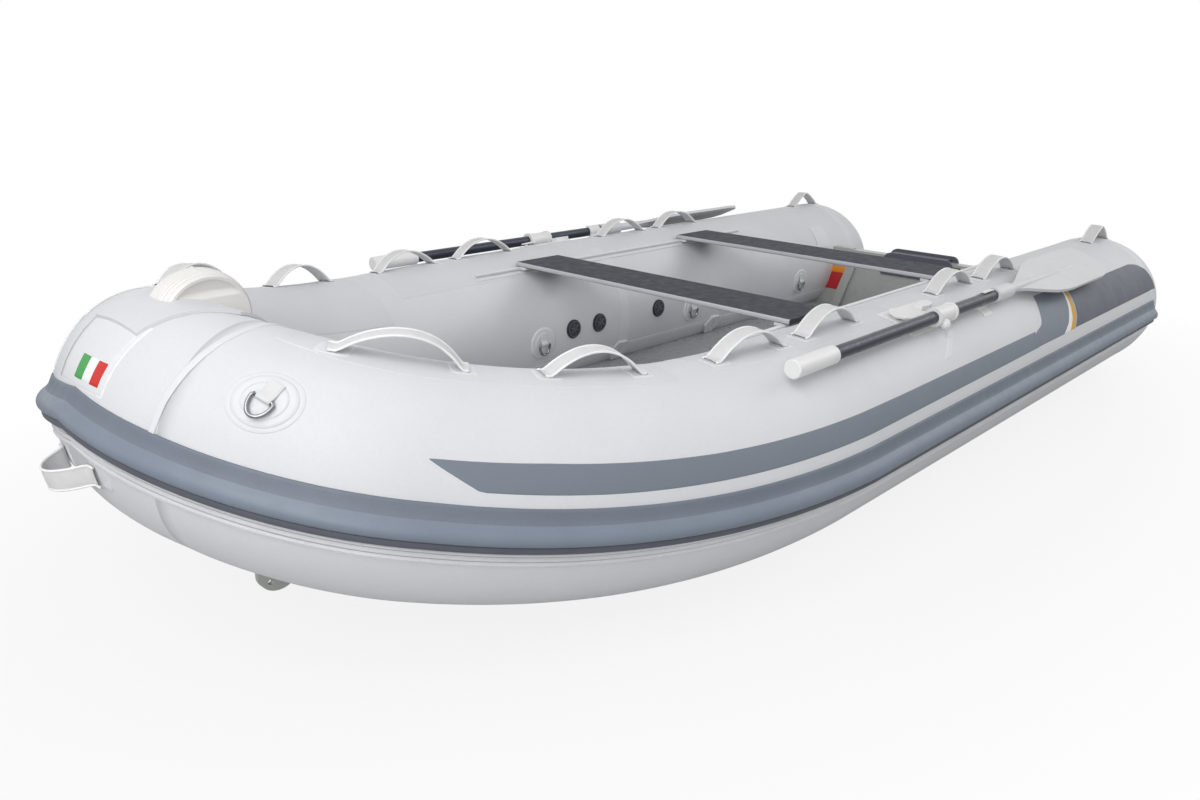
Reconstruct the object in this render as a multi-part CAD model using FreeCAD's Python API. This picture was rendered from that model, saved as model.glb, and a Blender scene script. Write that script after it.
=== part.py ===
import FreeCAD
import Part
import os
from math import acos, atan2, cos, degrees, pi, radians, sin, sqrt

# Inflatable boat with a rigid hull. Millimetres, +X to the bow, +Y to port, +Z up.
# The origin is on the waterline of the empty boat, amidships on the centre plane.

# Buoyancy tube
TUBE_RADIUS = 222.4
BOW_HALF_WIDTH = 182.8
BOW_HALF_HEIGHT = 209.0
TUBE_HALF_SPACING = 582.3
TUBE_CENTRE_HEIGHT = 275.0
BEND_START = 511.7
SHOULDER_STEPS = 10
FORE_STEPS = 6
BOW_STEPS = 6
SIDE_ARC_RADIUS = 1776.1
SIDE_ARC_ANGLE = 28.25
SHEER_RISE = 163.2
SHEER_POWER = 2.85
SEAM_HEADING = 69.3
CONE_START = -1446.0
CONE_LENGTH = 353.8
CONE_DROP = 80.0
CONE_FULLNESS = 1.16
CONE_SHARES = [0.0, 0.22, 0.42, 0.6, 0.74, 0.85, 0.93]
CONE_CAP_SHARE = 0.985

# Small running gap between glued pieces
SEAT_GAP = 0.3
STRIP_SINK = 3.0

# Rigid hull, deck and transom
KEEL_DEPTH = 120.0
KEEL_RISE = 355.0
FOREFOOT_START = 350.0
STEM_INSET = 20.0
HULL_FRONT = 1530.0
HULL_STATION_STEP = 100.0
HULL_NOSE_INSET = 60.0
HULL_PLAN_STEPS = 24
HEADING_STEP = 0.25
CHINE_INSET = 85.0
CHINE_HEIGHT = 52.0
CHINE_WIDTH = 12.0
CHINE_LIP = 25.0
CHINE_TOP = 2.0
DECK_TOP = 130.0
DECK_THICKNESS = 12.0
DECK_FRONT = 1050.0
TRANSOM_TOP = 355.0
TRANSOM_FACE_AT_TOP = -1312.2
TRANSOM_FACE_AT_DECK = -1270.0
TRANSOM_THICKNESS = 45.0
SIDE_INSET = 60.0
KNEE_WIDTH = 38.0
KNEE_FOOT_DEPTH = 26.0
KNEE_TOP_DEPTH = 6.0
KNEE_FOOT_OFFSET = 307.0
KNEE_TOP_OFFSET = 270.0
KNEE_BELOW_TOP = 40.0
MOTOR_PAD_WIDTH = 283.0
MOTOR_PAD_HEIGHT = 72.0
MOTOR_PAD_THICKNESS = 8.0
MOTOR_PAD_CORNER = 28.0
MOTOR_PAD_CAP = 12.0
MOTOR_PAD_LIP = 9.0
DRAIN_RADIUS = 12.5
DRAIN_RISE = 18.0

# Rub strake and the ribbed strip under it, as angles round the tube amidships
STRAKE_PROUD = 25.0
STRAKE_EDGE = 3.0
STRAKE_SHELF_PROUD = 8.0
STRAKE_NOSE_STEPS = 6
STRAKE_START = -1446.0
STRAKE_TOP_ANGLE = 9.0
STRAKE_SHELF_ANGLE = 1.5
STRAKE_FOOT_ANGLE = -11.0
STRAKE_BOW_LIFT = 16.0
STRAKE_LIFT_POWER = 1.8
BUTT_GAP = 0.6
RIB_STRIP_FOOT_ANGLE = -20.5
RIB_STRIP_GAP = 0.5
RIB_STRIP_PROUD = 6.0
RIB_COUNT = 3

# Carrying straps along the top of the tubes: distance along the tube from the bend
STRAP_MIDDLES = [926.8, 562.3, 163.3, -129.7, -749.7, -1044.7, -1911.7]
STRAP_SPAN = 196.0
STRAP_RISE = 46.0
STRAP_WIDTH = 40.0
STRAP_THICKNESS = 3.5
STRAP_TAB = 14.0
STRAP_TAB_UNDER = 8.0
STRAP_ANGLE = 87.0

# Seat rails and thwarts
RAIL_INSET = 120.3
RAIL_FRONT = 520.0
RAIL_AFT = -750.0
RAIL_RISE = 9.0
RAIL_BEAD_RADIUS = 5.0
RAIL_WEB = 3.0
RAIL_FOOT_WIDTH = 24.0
RAIL_FOOT_THICKNESS = 3.0
THWART_FRONT_AFT_EDGE = 173.0
THWART_REAR_AFT_EDGE = -579.0
THWART_WIDTH = 175.0
THWART_THICKNESS = 12.0
THWART_EDGE_RADIUS = 3.0
THWART_OVERHANG = 16.0
BEAD_CLEARANCE = 0.5
RUNNER_WIDTH = 24.0
RUNNER_DROP = 7.5
RUNNER_SHORT = 2.0

# Oars, rowlocks and stowing clips
OAR_PIN_X = 47.0
OAR_SEAT_ANGLE = 60.0
OAR_SWING_ANGLE = 52.0
OAR_STANDOFF = 30.0
OAR_SHAFT_RADIUS = 15.0
OAR_GRIP_RADIUS = 20.0
OAR_GRIP_LENGTH = 150.0
OAR_GRIP_END = 695.0
OAR_EDGE_RADIUS = 3.0
OAR_SHAFT_END = -330.0
OAR_SLEEVE_START = -255.0
OAR_SLEEVE_END = -352.0
OAR_SLEEVE_RADIUS = 20.0
OAR_SLEEVE_RECESS = 12.0
OAR_SLEEVE_LIP = 2.5
OAR_NECK = -400.0
OAR_TIP = -1020.0
NECK_RADIUS = 13.0
BLADE_FEATHER = 13.5
BLADE_WIDTH = 150.0
BLADE_THICKNESS = 9.0
BLADE_RIDGE = 0.79
BLADE_RIB_END = 4.6
BLADE_ROOT_SHARES = [(0.0, 0.16), (0.065, 0.27), (0.137, 0.47), (0.21, 0.67), (0.29, 0.87)]
BLADE_TIP_SHARES = [(0.37, 0.96), (0.45, 1.0), (0.855, 1.0), (0.95, 0.85), (1.0, 0.5)]
COLLAR_LENGTH = 90.0
COLLAR_RADIUS = 21.0
COLLAR_RIM = 2.5
COLLAR_RIM_LENGTH = 10.0
PIN_RADIUS = 7.0
PIN_CLEARANCE = 0.05
SOCKET_WALL = 8.0
SOCKET_GAP = 0.4
COLLAR_KNOB_RADIUS = 13.0
COLLAR_KNOB_REACH = 26.0
COLLAR_KNOB_SHIFT = 20.0
ROWLOCK_LENGTH = 190.0
ROWLOCK_WIDTH = 104.0
ROWLOCK_ANGLE = 70.0
ROWLOCK_FORE = 131.0
ROWLOCK_CAP_X = 141.0
ROWLOCK_CAP_ANGLE = 74.0
ROWLOCK_CAP_RADIUS = 26.0
ROWLOCK_CAP_THICKNESS = 4.0
ROWLOCK_CAP_TOP = 13.0
ROWLOCK_POST_RADIUS = 6.0
ROWLOCK_POST_SPACING = 26.0
LEVER_X = 5.0
LEVER_ANGLE = 75.0
LEVER_LENGTH = 58.0
LEVER_WIDTH = 30.0
LEVER_TOP = 15.0
PAD_THICKNESS = 3.0
PAD_EDGE = 1.5
PAD_FLAT_SHARE = 0.85
CLIP_X = -215.0
CLIP_LENGTH = 50.0
CLIP_GAP = 1.2
CLIP_WALL = 4.0
CLIP_PAD_WIDTH = 64.0
CLIP_LIP = 6.0
CLIP_FOOT_WIDTH = 22.0

# Fairlead and lifting handle on the bow, towing lug under it
SADDLE_THICKNESS = 6.0
SADDLE_FRONT_HALF = 85.0
SADDLE_MIDDLE_HALF = 111.0
SADDLE_BACK_HALF = 130.0
SADDLE_END_HALF = 103.0
SADDLE_REACH = [90.0, -7.0, -67.0, -128.0]
SHEAVE_X = -60.0
SHEAVE_CENTRE_BELOW = 32.7
SHEAVE_TREAD = [(79.0, 10.0), (77.5, 24.0), (73.0, 37.0), (70.0, 41.0)]
SHEAVE_RECESS = [(66.0, 41.0), (62.0, 34.0), (46.0, 35.0), (40.0, 41.0)]
BOW_HANDLE_ANGLE = -12.5
BOW_HANDLE_SPAN = 77.0
BOW_HANDLE_RISE = 50.0
HANDLE_PATCH_FOOT_ANGLE = -26.0
HANDLE_PATCH_GAP = 0.8
HANDLE_PATCH_NEAR = 3.2
HANDLE_PATCH_FAR = 11.5
HANDLE_PATCH_THICKNESS = 2.5
LUG_WIDTH = 92.0
LUG_THICKNESS = 12.0
LUG_DROP = 79.0
LUG_X = 1425.0
LUG_HOLE_RADIUS = 6.0
LUG_HOLE_SPACING = 40.0
LUG_HOLE_RISE = 24.0
LUG_ROOT = 12.0
LUG_SHOULDER = 0.8

# Fittings on the tubes: distance along the tube from the bend and angle round it
VALVE_PLACES = [-289.7, -403.7, -689.7]
VALVE_ANGLE = 178.0
VALVE_RADIUS = 29.0
VALVE_PROUD = 6.0
VALVE_CAP_SHARE = 0.8
RING_PLACES = [(1071.3, 45.0), (-163.7, 184.0), (-878.7, 186.0), (-1566.7, 187.0)]
RING_PATCH_RADIUS = 50.0
RING_PATCH_THICKNESS = 3.0
RING_RADIUS = 19.5
RING_WIRE = 3.0
RING_LIFT = 1.5
RING_KEEPER_RADIUS = 3.2
RING_KEEPER_LENGTH = 18.0
LASHING_PLACES = [-524.7, -1023.7]
LASHING_ANGLE = 209.0
LASHING_RADIUS = 42.0
LASHING_HEIGHT = 7.0
LASHING_SLOT = [14.0, 32.0]
LASHING_FLOOR = 3.5
STERN_PATCH_X = -1290.0
STERN_PATCH_ANGLE = 145.0
STERN_PATCH_SPAN = 24.0
STERN_PATCH_LENGTH = 90.0
STERN_PATCH_THICKNESS = 2.5
CONE_CAP_RADIUS = 24.0
LABEL_TOP = 284.0
LABEL_FOOT = 190.0
LABEL_TOP_SIDES = [-296.0, -383.0]
LABEL_FOOT_SIDES = [-315.0, -378.0]
LABEL_THICKNESS = 1.5
TOP_PLATE_START = -291.0
TOP_PLATE_LENGTH = 94.0
TOP_PLATE_WIDTH = 33.0
TOP_PLATE_THICKNESS = 2.7
TOP_PLATE_INSET = 6.0

V = FreeCAD.Vector
SIDE_END_OFFSET = TUBE_HALF_SPACING - SIDE_ARC_RADIUS * (1 - cos(radians(SIDE_ARC_ANGLE)))
BOW_ARC_RADIUS = SIDE_END_OFFSET / cos(radians(SIDE_ARC_ANGLE))
SIDE_ARC_RUN = SIDE_ARC_RADIUS * radians(SIDE_ARC_ANGLE)
SIDE_ARC_END = BEND_START + SIDE_ARC_RADIUS * sin(radians(SIDE_ARC_ANGLE))
BOW_CENTRE = SIDE_ARC_END + BOW_ARC_RADIUS * (1 - sin(radians(SIDE_ARC_ANGLE)))
BOW_RUN = SIDE_ARC_RUN + BOW_ARC_RADIUS * radians(90 - SIDE_ARC_ANGLE)
RAIL_OFFSET = TUBE_HALF_SPACING - RAIL_INSET
RAIL_SEAT = TUBE_CENTRE_HEIGHT + sqrt(TUBE_RADIUS ** 2 - RAIL_INSET ** 2)
RAIL_BEAD_HEIGHT = RAIL_SEAT + RAIL_RISE
THWART_UNDERSIDE = RAIL_BEAD_HEIGHT + RAIL_BEAD_RADIUS + BEAD_CLEARANCE
WIDE = 400.0
PATCH_DEPTH = 12.0


class Station:
    """A place on the tube's centre line, with its own directions and section."""

    def __init__(self, centre, along, out, heading, share):
        self.centre = centre
        self.along = along
        self.out = out
        self.up = along.cross(out)
        self.heading = min(heading, 180 - heading)
        self.half_width = TUBE_RADIUS + (BOW_HALF_WIDTH - TUBE_RADIUS) * share
        self.half_height = TUBE_RADIUS + (BOW_HALF_HEIGHT - TUBE_RADIUS) * share

    def point(self, angle, proud=0.0, shift=0.0):
        across = self.out * ((self.half_width + proud) * cos(radians(angle)))
        lift = self.up * ((self.half_height + proud) * sin(radians(angle)))
        return self.centre + across + lift + self.along * shift

    def normal(self, angle):
        across = self.out * (cos(radians(angle)) / self.half_width)
        way = across + self.up * (sin(radians(angle)) / self.half_height)
        way.normalize()
        return way

    def round_way(self, angle):
        way = self.along.cross(self.normal(angle))
        way.normalize()
        return way


def straight_station(x):
    centre = V(x, TUBE_HALF_SPACING, TUBE_CENTRE_HEIGHT)
    return Station(centre, V(1, 0, 0), V(0, 1, 0), 0.0, 0.0)


def bend_station(heading):
    """Station on the bow bend: heading 0 where it leaves the side, 90 on the centre plane."""
    turn = radians(heading)
    limit = radians(SIDE_ARC_ANGLE)
    if heading <= SIDE_ARC_ANGLE:
        x = BEND_START + SIDE_ARC_RADIUS * sin(turn)
        y = TUBE_HALF_SPACING - SIDE_ARC_RADIUS * (1 - cos(turn))
    else:
        x = SIDE_ARC_END + BOW_ARC_RADIUS * (sin(turn) - sin(limit))
        y = BOW_ARC_RADIUS * cos(turn)
    run = BOW_CENTRE - BEND_START
    share = (x - BEND_START) / run
    rise = SHEER_RISE * share ** SHEER_POWER
    slope = SHEER_RISE * SHEER_POWER * share ** (SHEER_POWER - 1) / run * cos(turn)
    along = V(cos(turn), -sin(turn), slope)
    along.normalize()
    out = V(sin(turn), cos(turn), 0)
    return Station(V(x, y, TUBE_CENTRE_HEIGHT + rise), along, out, heading, share)


def station(run):
    """Station at a distance along the tube, counted forward from the start of the bend."""
    if run <= 0:
        return straight_station(BEND_START + run)
    if run <= SIDE_ARC_RUN:
        return bend_station(degrees(run / SIDE_ARC_RADIUS))
    return bend_station(SIDE_ARC_ANGLE + degrees((run - SIDE_ARC_RUN) / BOW_ARC_RADIUS))


def export(name, shape):
    shape.exportStep("parts/" + name + ".step")


def mirrored(shape):
    return shape.mirror(V(0, 0, 0), V(0, 1, 0))


def solids(shape):
    return list(shape.Solids)


def both(shape):
    return Part.makeCompound(solids(shape) + solids(mirrored(shape)))


def largest(shape):
    return max(solids(shape), key=lambda solid: solid.Volume)


def joined(shapes):
    """One shape fused from several."""
    result = shapes[0].fuse(shapes[1:])
    return result.removeSplitter()


def box(low, high):
    size = V(*high) - V(*low)
    return Part.makeBox(size.x, size.y, size.z, V(*low))


def rod(start, end, radius):
    way = end - start
    return Part.makeCylinder(radius, way.Length, start, way)


def polygon(points):
    return Part.makePolygon(points + [points[0]])


def prism(points, way):
    return Part.Face(polygon(points)).extrude(way)


def arc(first, middle, last):
    return Part.Arc(first, middle, last).toShape()


def section_arc(place, first, last, proud):
    """Part of the tube's oval section between two angles, standing proud of the skin."""
    half = radians(last - first) / 2
    middle = place.point((first + last) / 2, proud)
    corner = place.centre + (middle - place.centre) * (1 / cos(half))
    poles = [place.point(first, proud), corner, place.point(last, proud)]
    curve = Part.BSplineCurve()
    curve.buildFromPolesMultsKnots(poles, [3, 3], [0, 1], False, 2, [1, abs(cos(half)), 1])
    return curve.toShape()


def ring_wire(place, proud=0.0):
    """The tube's whole section at a station, as four quarters."""
    return Part.Wire([section_arc(place, start, start + 90, proud) for start in (0, 90, 180, 270)])


def strip_wire(place, outline):
    """A closed section on the tube: (angle, proud) points outside, an arc under the skin inside.

    What lies under the skin is cut away later. Two points that stand equally proud are joined
    by an arc round the tube, others by a line.
    """
    first = outline[0][0]
    last = outline[-1][0]
    inner = section_arc(place, first, last, -STRIP_SINK)
    edges = [Part.makeLine(place.point(first, -STRIP_SINK), place.point(*outline[0]))]
    for start, end in zip(outline[:-1], outline[1:]):
        if start[1] == end[1]:
            edges.append(section_arc(place, start[0], end[0], start[1]))
        else:
            edges.append(Part.makeLine(place.point(*start), place.point(*end)))
    edges.append(Part.makeLine(place.point(*outline[-1]), place.point(last, -STRIP_SINK)))
    edges.append(inner)
    return Part.Wire(Part.__sortEdges__(edges))


def loft(wires):
    return Part.makeLoft(wires, True, False)


def turned_run(section, first, last, steps):
    """A section carried round the bend from one heading to another."""
    step = (last - first) / steps
    return loft([section(bend_station(first + step * count)) for count in range(steps + 1)])


def shoulder_run(section):
    """A section carried along the side's gentle bend."""
    return turned_run(section, 0.0, SIDE_ARC_ANGLE, SHOULDER_STEPS)


def fore_run(section, gap=0.0):
    """A section carried from the gentle bend to the bow seam."""
    start = SIDE_ARC_ANGLE + degrees(gap / BOW_ARC_RADIUS)
    return turned_run(section, start, SEAM_HEADING, FORE_STEPS)


def bow_run(section):
    """A section carried round the bow from seam to seam."""
    return turned_run(section, SEAM_HEADING, 180 - SEAM_HEADING, BOW_STEPS)


def straight_run(section, aft, front):
    return Part.Face(section(straight_station(aft))).extrude(V(front - aft, 0, 0))


def cone_wire(share, proud=0.0):
    """Section of the stern cone, share 0 at its root and 1 at its tip."""
    x = CONE_START - CONE_LENGTH * share
    radius = TUBE_RADIUS * sqrt(1 - share * share) ** CONE_FULLNESS
    place = straight_station(x)
    place.centre = place.centre - V(0, 0, CONE_DROP * share * share)
    place.half_width = radius
    place.half_height = radius
    return ring_wire(place, proud)


def cone_tube(proud=0.0):
    return loft([cone_wire(share, proud) for share in CONE_SHARES + [CONE_CAP_SHARE]])


def main_tube(proud=0.0):
    start = V(CONE_START, TUBE_HALF_SPACING, TUBE_CENTRE_HEIGHT)
    return rod(start, start + V(BEND_START - CONE_START, 0, 0), TUBE_RADIUS + proud)


def shoulder_tube(proud=0.0):
    return shoulder_run(lambda place: ring_wire(place, proud))


def fore_tube(proud=0.0):
    return fore_run(lambda place: ring_wire(place, proud))


def bow_tube(proud=0.0):
    return bow_run(lambda place: ring_wire(place, proud))


def near_tube(run, proud):
    """The part of the tube at a distance along it, for cutting and trimming fittings."""
    if run < 0:
        return main_tube(proud)
    return fore_tube(proud)


def on_skin(body, run, thickness):
    """What a body leaves between the tube's skin and a surface that stands a thickness above."""
    return body.common(near_tube(run, thickness)).cut(near_tube(run, SEAT_GAP))


def strake_lift(place):
    """Angle by which the strake climbs round the tube on its way to the bow."""
    return STRAKE_BOW_LIFT * (place.heading / 90) ** STRAKE_LIFT_POWER


def strake_outline():
    """Outline of the strake: a rounded nose below, a flat band above that thins to its edge."""
    half = (STRAKE_SHELF_ANGLE - STRAKE_FOOT_ANGLE) / 2
    middle = (STRAKE_SHELF_ANGLE + STRAKE_FOOT_ANGLE) / 2
    outline = []
    for step in range(STRAKE_NOSE_STEPS + 1):
        turn = pi * step / STRAKE_NOSE_STEPS
        root = STRAKE_EDGE + (STRAKE_SHELF_PROUD - STRAKE_EDGE) * step / STRAKE_NOSE_STEPS
        outline.append((middle - half * cos(turn), root + (STRAKE_PROUD - root) * sin(turn)))
    outline.append((STRAKE_TOP_ANGLE, STRAKE_EDGE))
    return outline


def rib_outline():
    """Outline of the ribbed strip below the strake."""
    pitch = (STRAKE_FOOT_ANGLE - RIB_STRIP_GAP - RIB_STRIP_FOOT_ANGLE) / RIB_COUNT
    outline = []
    for rib in range(RIB_COUNT):
        foot = RIB_STRIP_FOOT_ANGLE + pitch * rib
        outline.append((foot, RIB_STRIP_PROUD / 2))
        outline.append((foot + pitch / 2, RIB_STRIP_PROUD))
    outline.append((RIB_STRIP_FOOT_ANGLE + pitch * RIB_COUNT, RIB_STRIP_PROUD / 2))
    return outline


def lifted(outline):
    """Section that carries an outline round the tube with the strake's climb."""
    def section(place):
        lift = strake_lift(place)
        return strip_wire(place, [(angle + lift, proud) for angle, proud in outline])
    return section


def side_strips(outline, tube):
    """The three lengths of a strip along one side, butted end to end."""
    section = lifted(outline)
    straight = straight_run(section, STRAKE_START, BEND_START - BUTT_GAP)
    lengths = [straight, shoulder_run(section), fore_run(section, BUTT_GAP)]
    return Part.makeCompound([largest(piece.cut(tube)) for piece in lengths])


def keel_height(x):
    """Height of the keel line: level aft, then rising in a curve to the stem."""
    stem = BOW_CENTRE - STEM_INSET
    if x <= FOREFOOT_START:
        return -KEEL_DEPTH
    share = (x - FOREFOOT_START) / (stem - FOREFOOT_START)
    return -KEEL_DEPTH + KEEL_RISE * share ** 3


def hull_wire(x):
    """Closed V section of the hull at x, up to the deck."""
    place = straight_station(x)
    if x > BEND_START:
        heading = 1.0
        while bend_station(heading).centre.x < x:
            heading += HEADING_STEP
        place = bend_station(heading)
    lift = place.centre.z - TUBE_CENTRE_HEIGHT
    narrow = place.centre.y / TUBE_HALF_SPACING
    chine_y = max(place.centre.y - CHINE_INSET * narrow, CHINE_WIDTH)
    chine_z = CHINE_HEIGHT + lift
    lip_z = chine_z + CHINE_LIP
    top = max(DECK_TOP - DECK_THICKNESS - SEAT_GAP, lip_z + CHINE_TOP)
    side_y = chine_y + CHINE_WIDTH * narrow
    port = [V(x, 0, keel_height(x)), V(x, chine_y, chine_z), V(x, side_y, lip_z), V(x, side_y, top)]
    starboard = [V(x, -point.y, point.z) for point in reversed(port[1:])]
    return polygon(port + starboard)


def transom_x(z):
    """Forward face of the transom at a height."""
    rake = (TRANSOM_FACE_AT_TOP - TRANSOM_FACE_AT_DECK) / (TRANSOM_TOP - DECK_TOP)
    return TRANSOM_FACE_AT_DECK + rake * (z - DECK_TOP)


def behind_transom_face():
    """All the space aft of the transom's forward face."""
    reach = 2 * TUBE_HALF_SPACING
    heights = (-2 * KEEL_DEPTH, 2 * TRANSOM_TOP)
    face = [V(transom_x(z) + SEAT_GAP, -reach, z) for z in heights]
    outline = face + [point - V(WIDE, 0, 0) for point in reversed(face)]
    return prism(outline, V(0, 2 * reach, 0))


def hull_plan():
    """Upright space inside a line that follows the tube round the bow."""
    port = [station(BOW_RUN * step / HULL_PLAN_STEPS) for step in range(HULL_PLAN_STEPS + 1)]
    edge = [place.centre - place.out * HULL_NOSE_INSET for place in port]
    port_side = [V(point.x, point.y, -WIDE) for point in edge]
    starboard_side = [V(point.x, -point.y, -WIDE) for point in reversed(edge[:-1])]
    corner = V(TRANSOM_FACE_AT_TOP - WIDE, TUBE_HALF_SPACING - HULL_NOSE_INSET, -WIDE)
    outline = [corner] + port_side + starboard_side + [V(corner.x, -corner.y, corner.z)]
    return prism(outline, V(0, 0, 2 * WIDE))


def hull_shape(tubes):
    start = FOREFOOT_START - 2 * HULL_STATION_STEP
    straight = Part.Face(hull_wire(TRANSOM_FACE_AT_TOP)).extrude(V(start - TRANSOM_FACE_AT_TOP, 0, 0))
    count = round((HULL_FRONT - start) / HULL_STATION_STEP)
    reach = (HULL_FRONT - start) / count
    fore = loft([hull_wire(start + reach * step) for step in range(count + 1)])
    body = joined([straight, fore]).common(hull_plan())
    return largest(body.cut(tubes).cut(behind_transom_face()))


def deck_shape(tubes):
    side = TUBE_HALF_SPACING - SIDE_INSET
    low = (TRANSOM_FACE_AT_TOP, -side, DECK_TOP - DECK_THICKNESS)
    deck = box(low, (DECK_FRONT, side, DECK_TOP))
    return largest(deck.cut(tubes).cut(behind_transom_face()))


def transom_shape(tubes):
    half = TUBE_HALF_SPACING - SIDE_INSET
    chine = V(0, TUBE_HALF_SPACING - CHINE_INSET, CHINE_HEIGHT)
    keel = [V(0, 0, -KEEL_DEPTH), chine, V(0, half, CHINE_HEIGHT + CHINE_LIP), V(0, half, TRANSOM_TOP)]
    outline = keel + [V(0, -point.y, point.z) for point in reversed(keel[1:])]
    raked = [V(transom_x(point.z), point.y, point.z) for point in outline]
    plate = prism(raked, V(-TRANSOM_THICKNESS, 0, 0))
    height = DECK_TOP + DRAIN_RISE
    start = V(transom_x(height) + TRANSOM_THICKNESS, 0, height)
    drain = rod(start, start - V(3 * TRANSOM_THICKNESS, 0, 0), DRAIN_RADIUS)
    return plate.cut(tubes).cut(drain)


def pad_plate(shift, top):
    """A plate flat on the raked transom with its two upper corners rounded."""
    half = MOTOR_PAD_WIDTH / 2
    low = TRANSOM_TOP - MOTOR_PAD_HEIGHT
    corner = MOTOR_PAD_CORNER
    slack = corner * (1 - sqrt(0.5))

    def at(y, z):
        return V(transom_x(z) + shift, y, z)
    edges = [Part.makeLine(at(-half, low), at(half, low))]
    edges.append(Part.makeLine(at(half, low), at(half, top - corner)))
    edges.append(arc(at(half, top - corner), at(half - slack, top - slack), at(half - corner, top)))
    edges.append(Part.makeLine(at(half - corner, top), at(corner - half, top)))
    edges.append(arc(at(corner - half, top), at(slack - half, top - slack), at(-half, top - corner)))
    edges.append(Part.makeLine(at(-half, top - corner), at(-half, low)))
    return Part.Face(Part.Wire(edges)).extrude(V(MOTOR_PAD_THICKNESS, 0, 0))


def motor_pad():
    """Plates on both faces of the transom and a cap over its top edge."""
    aft_shift = -TRANSOM_THICKNESS - SEAT_GAP - MOTOR_PAD_THICKNESS
    under = TRANSOM_TOP + SEAT_GAP
    top = under + MOTOR_PAD_CAP
    front = pad_plate(SEAT_GAP, top)
    aft = pad_plate(aft_shift, top + MOTOR_PAD_LIP)
    half = MOTOR_PAD_WIDTH / 2 - MOTOR_PAD_CORNER
    corners = [V(transom_x(z) + shift, -half, z) for z in (under, top) for shift in (aft_shift, SEAT_GAP)]
    cap = prism([corners[0], corners[1], corners[3], corners[2]], V(0, 2 * half, 0))
    return joined([front, cap, aft])


def knee():
    """Upright brace between the deck and the forward face of the transom."""
    wires = []
    low = DECK_TOP + SEAT_GAP
    high = TRANSOM_TOP - KNEE_BELOW_TOP
    ends = ((low, KNEE_FOOT_OFFSET, KNEE_FOOT_DEPTH), (high, KNEE_TOP_OFFSET, KNEE_TOP_DEPTH))
    for z, side, depth in ends:
        x = transom_x(z) + SEAT_GAP
        near = side - KNEE_WIDTH / 2
        far = side + KNEE_WIDTH / 2
        wires.append(polygon([V(x, near, z), V(x + depth, near, z), V(x + depth, far, z), V(x, far, z)]))
    return Part.makeLoft(wires, True, True)


def strap(middle, span=STRAP_SPAN, rise=STRAP_RISE, angle=STRAP_ANGLE, seat=SEAT_GAP):
    """A webbing handle arched over the tube, with its two sewn ends."""
    place = station(middle)
    feet = [station(middle + side * span / 2).point(angle, seat) for side in (-1, 1)]
    along = feet[1] - feet[0]
    chord = along.Length
    along.normalize()
    up = place.normal(angle)
    up = up - along * up.dot(along)
    up.normalize()
    across = along.cross(up)
    foot_line = (feet[0] + feet[1]) * 0.5
    crown = place.point(angle, rise)
    height = (crown - foot_line).dot(up)
    radius = (chord * chord / 4 + height * height) / (2 * height)
    hub = foot_line + up * (height - radius)
    edge = across * (-STRAP_WIDTH / 2)
    half_turn = atan2(chord / 2, radius - height)

    def arch(reach):
        points = []
        for turn in (-half_turn, 0, half_turn):
            points.append(hub + along * (reach * sin(turn)) + up * (reach * cos(turn)) + edge)
        return points
    outer = arch(radius)
    inner = arch(radius - STRAP_THICKNESS)
    edges = [arc(*outer), Part.makeLine(outer[2], inner[2]), arc(*reversed(inner))]
    edges.append(Part.makeLine(inner[0], outer[0]))
    band = Part.Face(Part.Wire(edges)).extrude(across * STRAP_WIDTH)
    pieces = [band]
    for foot, way in ((feet[0], -1), (feet[1], 1)):
        start = foot + edge - along * (way * STRAP_TAB_UNDER)
        tab_end = start + along * (way * (STRAP_TAB + STRAP_TAB_UNDER))
        lift = up * STRAP_THICKNESS
        tab = prism([start, tab_end, tab_end + lift, start + lift], across * STRAP_WIDTH)
        pieces.append(tab)
    return joined(pieces)


def pad_outline(angle, width, thickness, edge):
    """Outline of a glued pad: its full thickness in the middle, thinner at its two sides."""
    half = degrees(width / 2 / TUBE_RADIUS)
    inner = half * PAD_FLAT_SHARE
    rise = [(angle - half, edge), (angle - inner, thickness)]
    return rise + [(angle + inner, thickness), (angle + half, edge)]


def rail():
    """Seat rail: a foot on the tube, an upright web and a round bead."""
    angle = 180 - degrees(acos(RAIL_INSET / TUBE_RADIUS))
    outline = pad_outline(angle, RAIL_FOOT_WIDTH, RAIL_FOOT_THICKNESS, PAD_EDGE)
    foot = straight_run(lambda place: strip_wire(place, outline), RAIL_AFT, RAIL_FRONT)
    low = (RAIL_AFT, RAIL_OFFSET - RAIL_WEB / 2, RAIL_SEAT + PAD_EDGE)
    high = (RAIL_FRONT, RAIL_OFFSET + RAIL_WEB / 2, RAIL_BEAD_HEIGHT)
    web = box(low, high)
    bead_start = V(RAIL_AFT, RAIL_OFFSET, RAIL_BEAD_HEIGHT)
    bead = rod(bead_start, bead_start + V(RAIL_FRONT - RAIL_AFT, 0, 0), RAIL_BEAD_RADIUS)
    return joined([foot, web, bead])


def runner(aft_edge):
    """Strip under the end of a thwart, with a groove that slides along the rail's bead."""
    top = THWART_UNDERSIDE - SEAT_GAP
    outer = RAIL_OFFSET - RUNNER_SHORT
    low = (aft_edge, outer - RUNNER_WIDTH, THWART_UNDERSIDE - RUNNER_DROP)
    start = V(aft_edge, RAIL_OFFSET, RAIL_BEAD_HEIGHT)
    bore = rod(start, start + V(THWART_WIDTH, 0, 0), RAIL_BEAD_RADIUS + BEAD_CLEARANCE)
    return box(low, (aft_edge + THWART_WIDTH, outer, top)).cut(bore)


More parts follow.
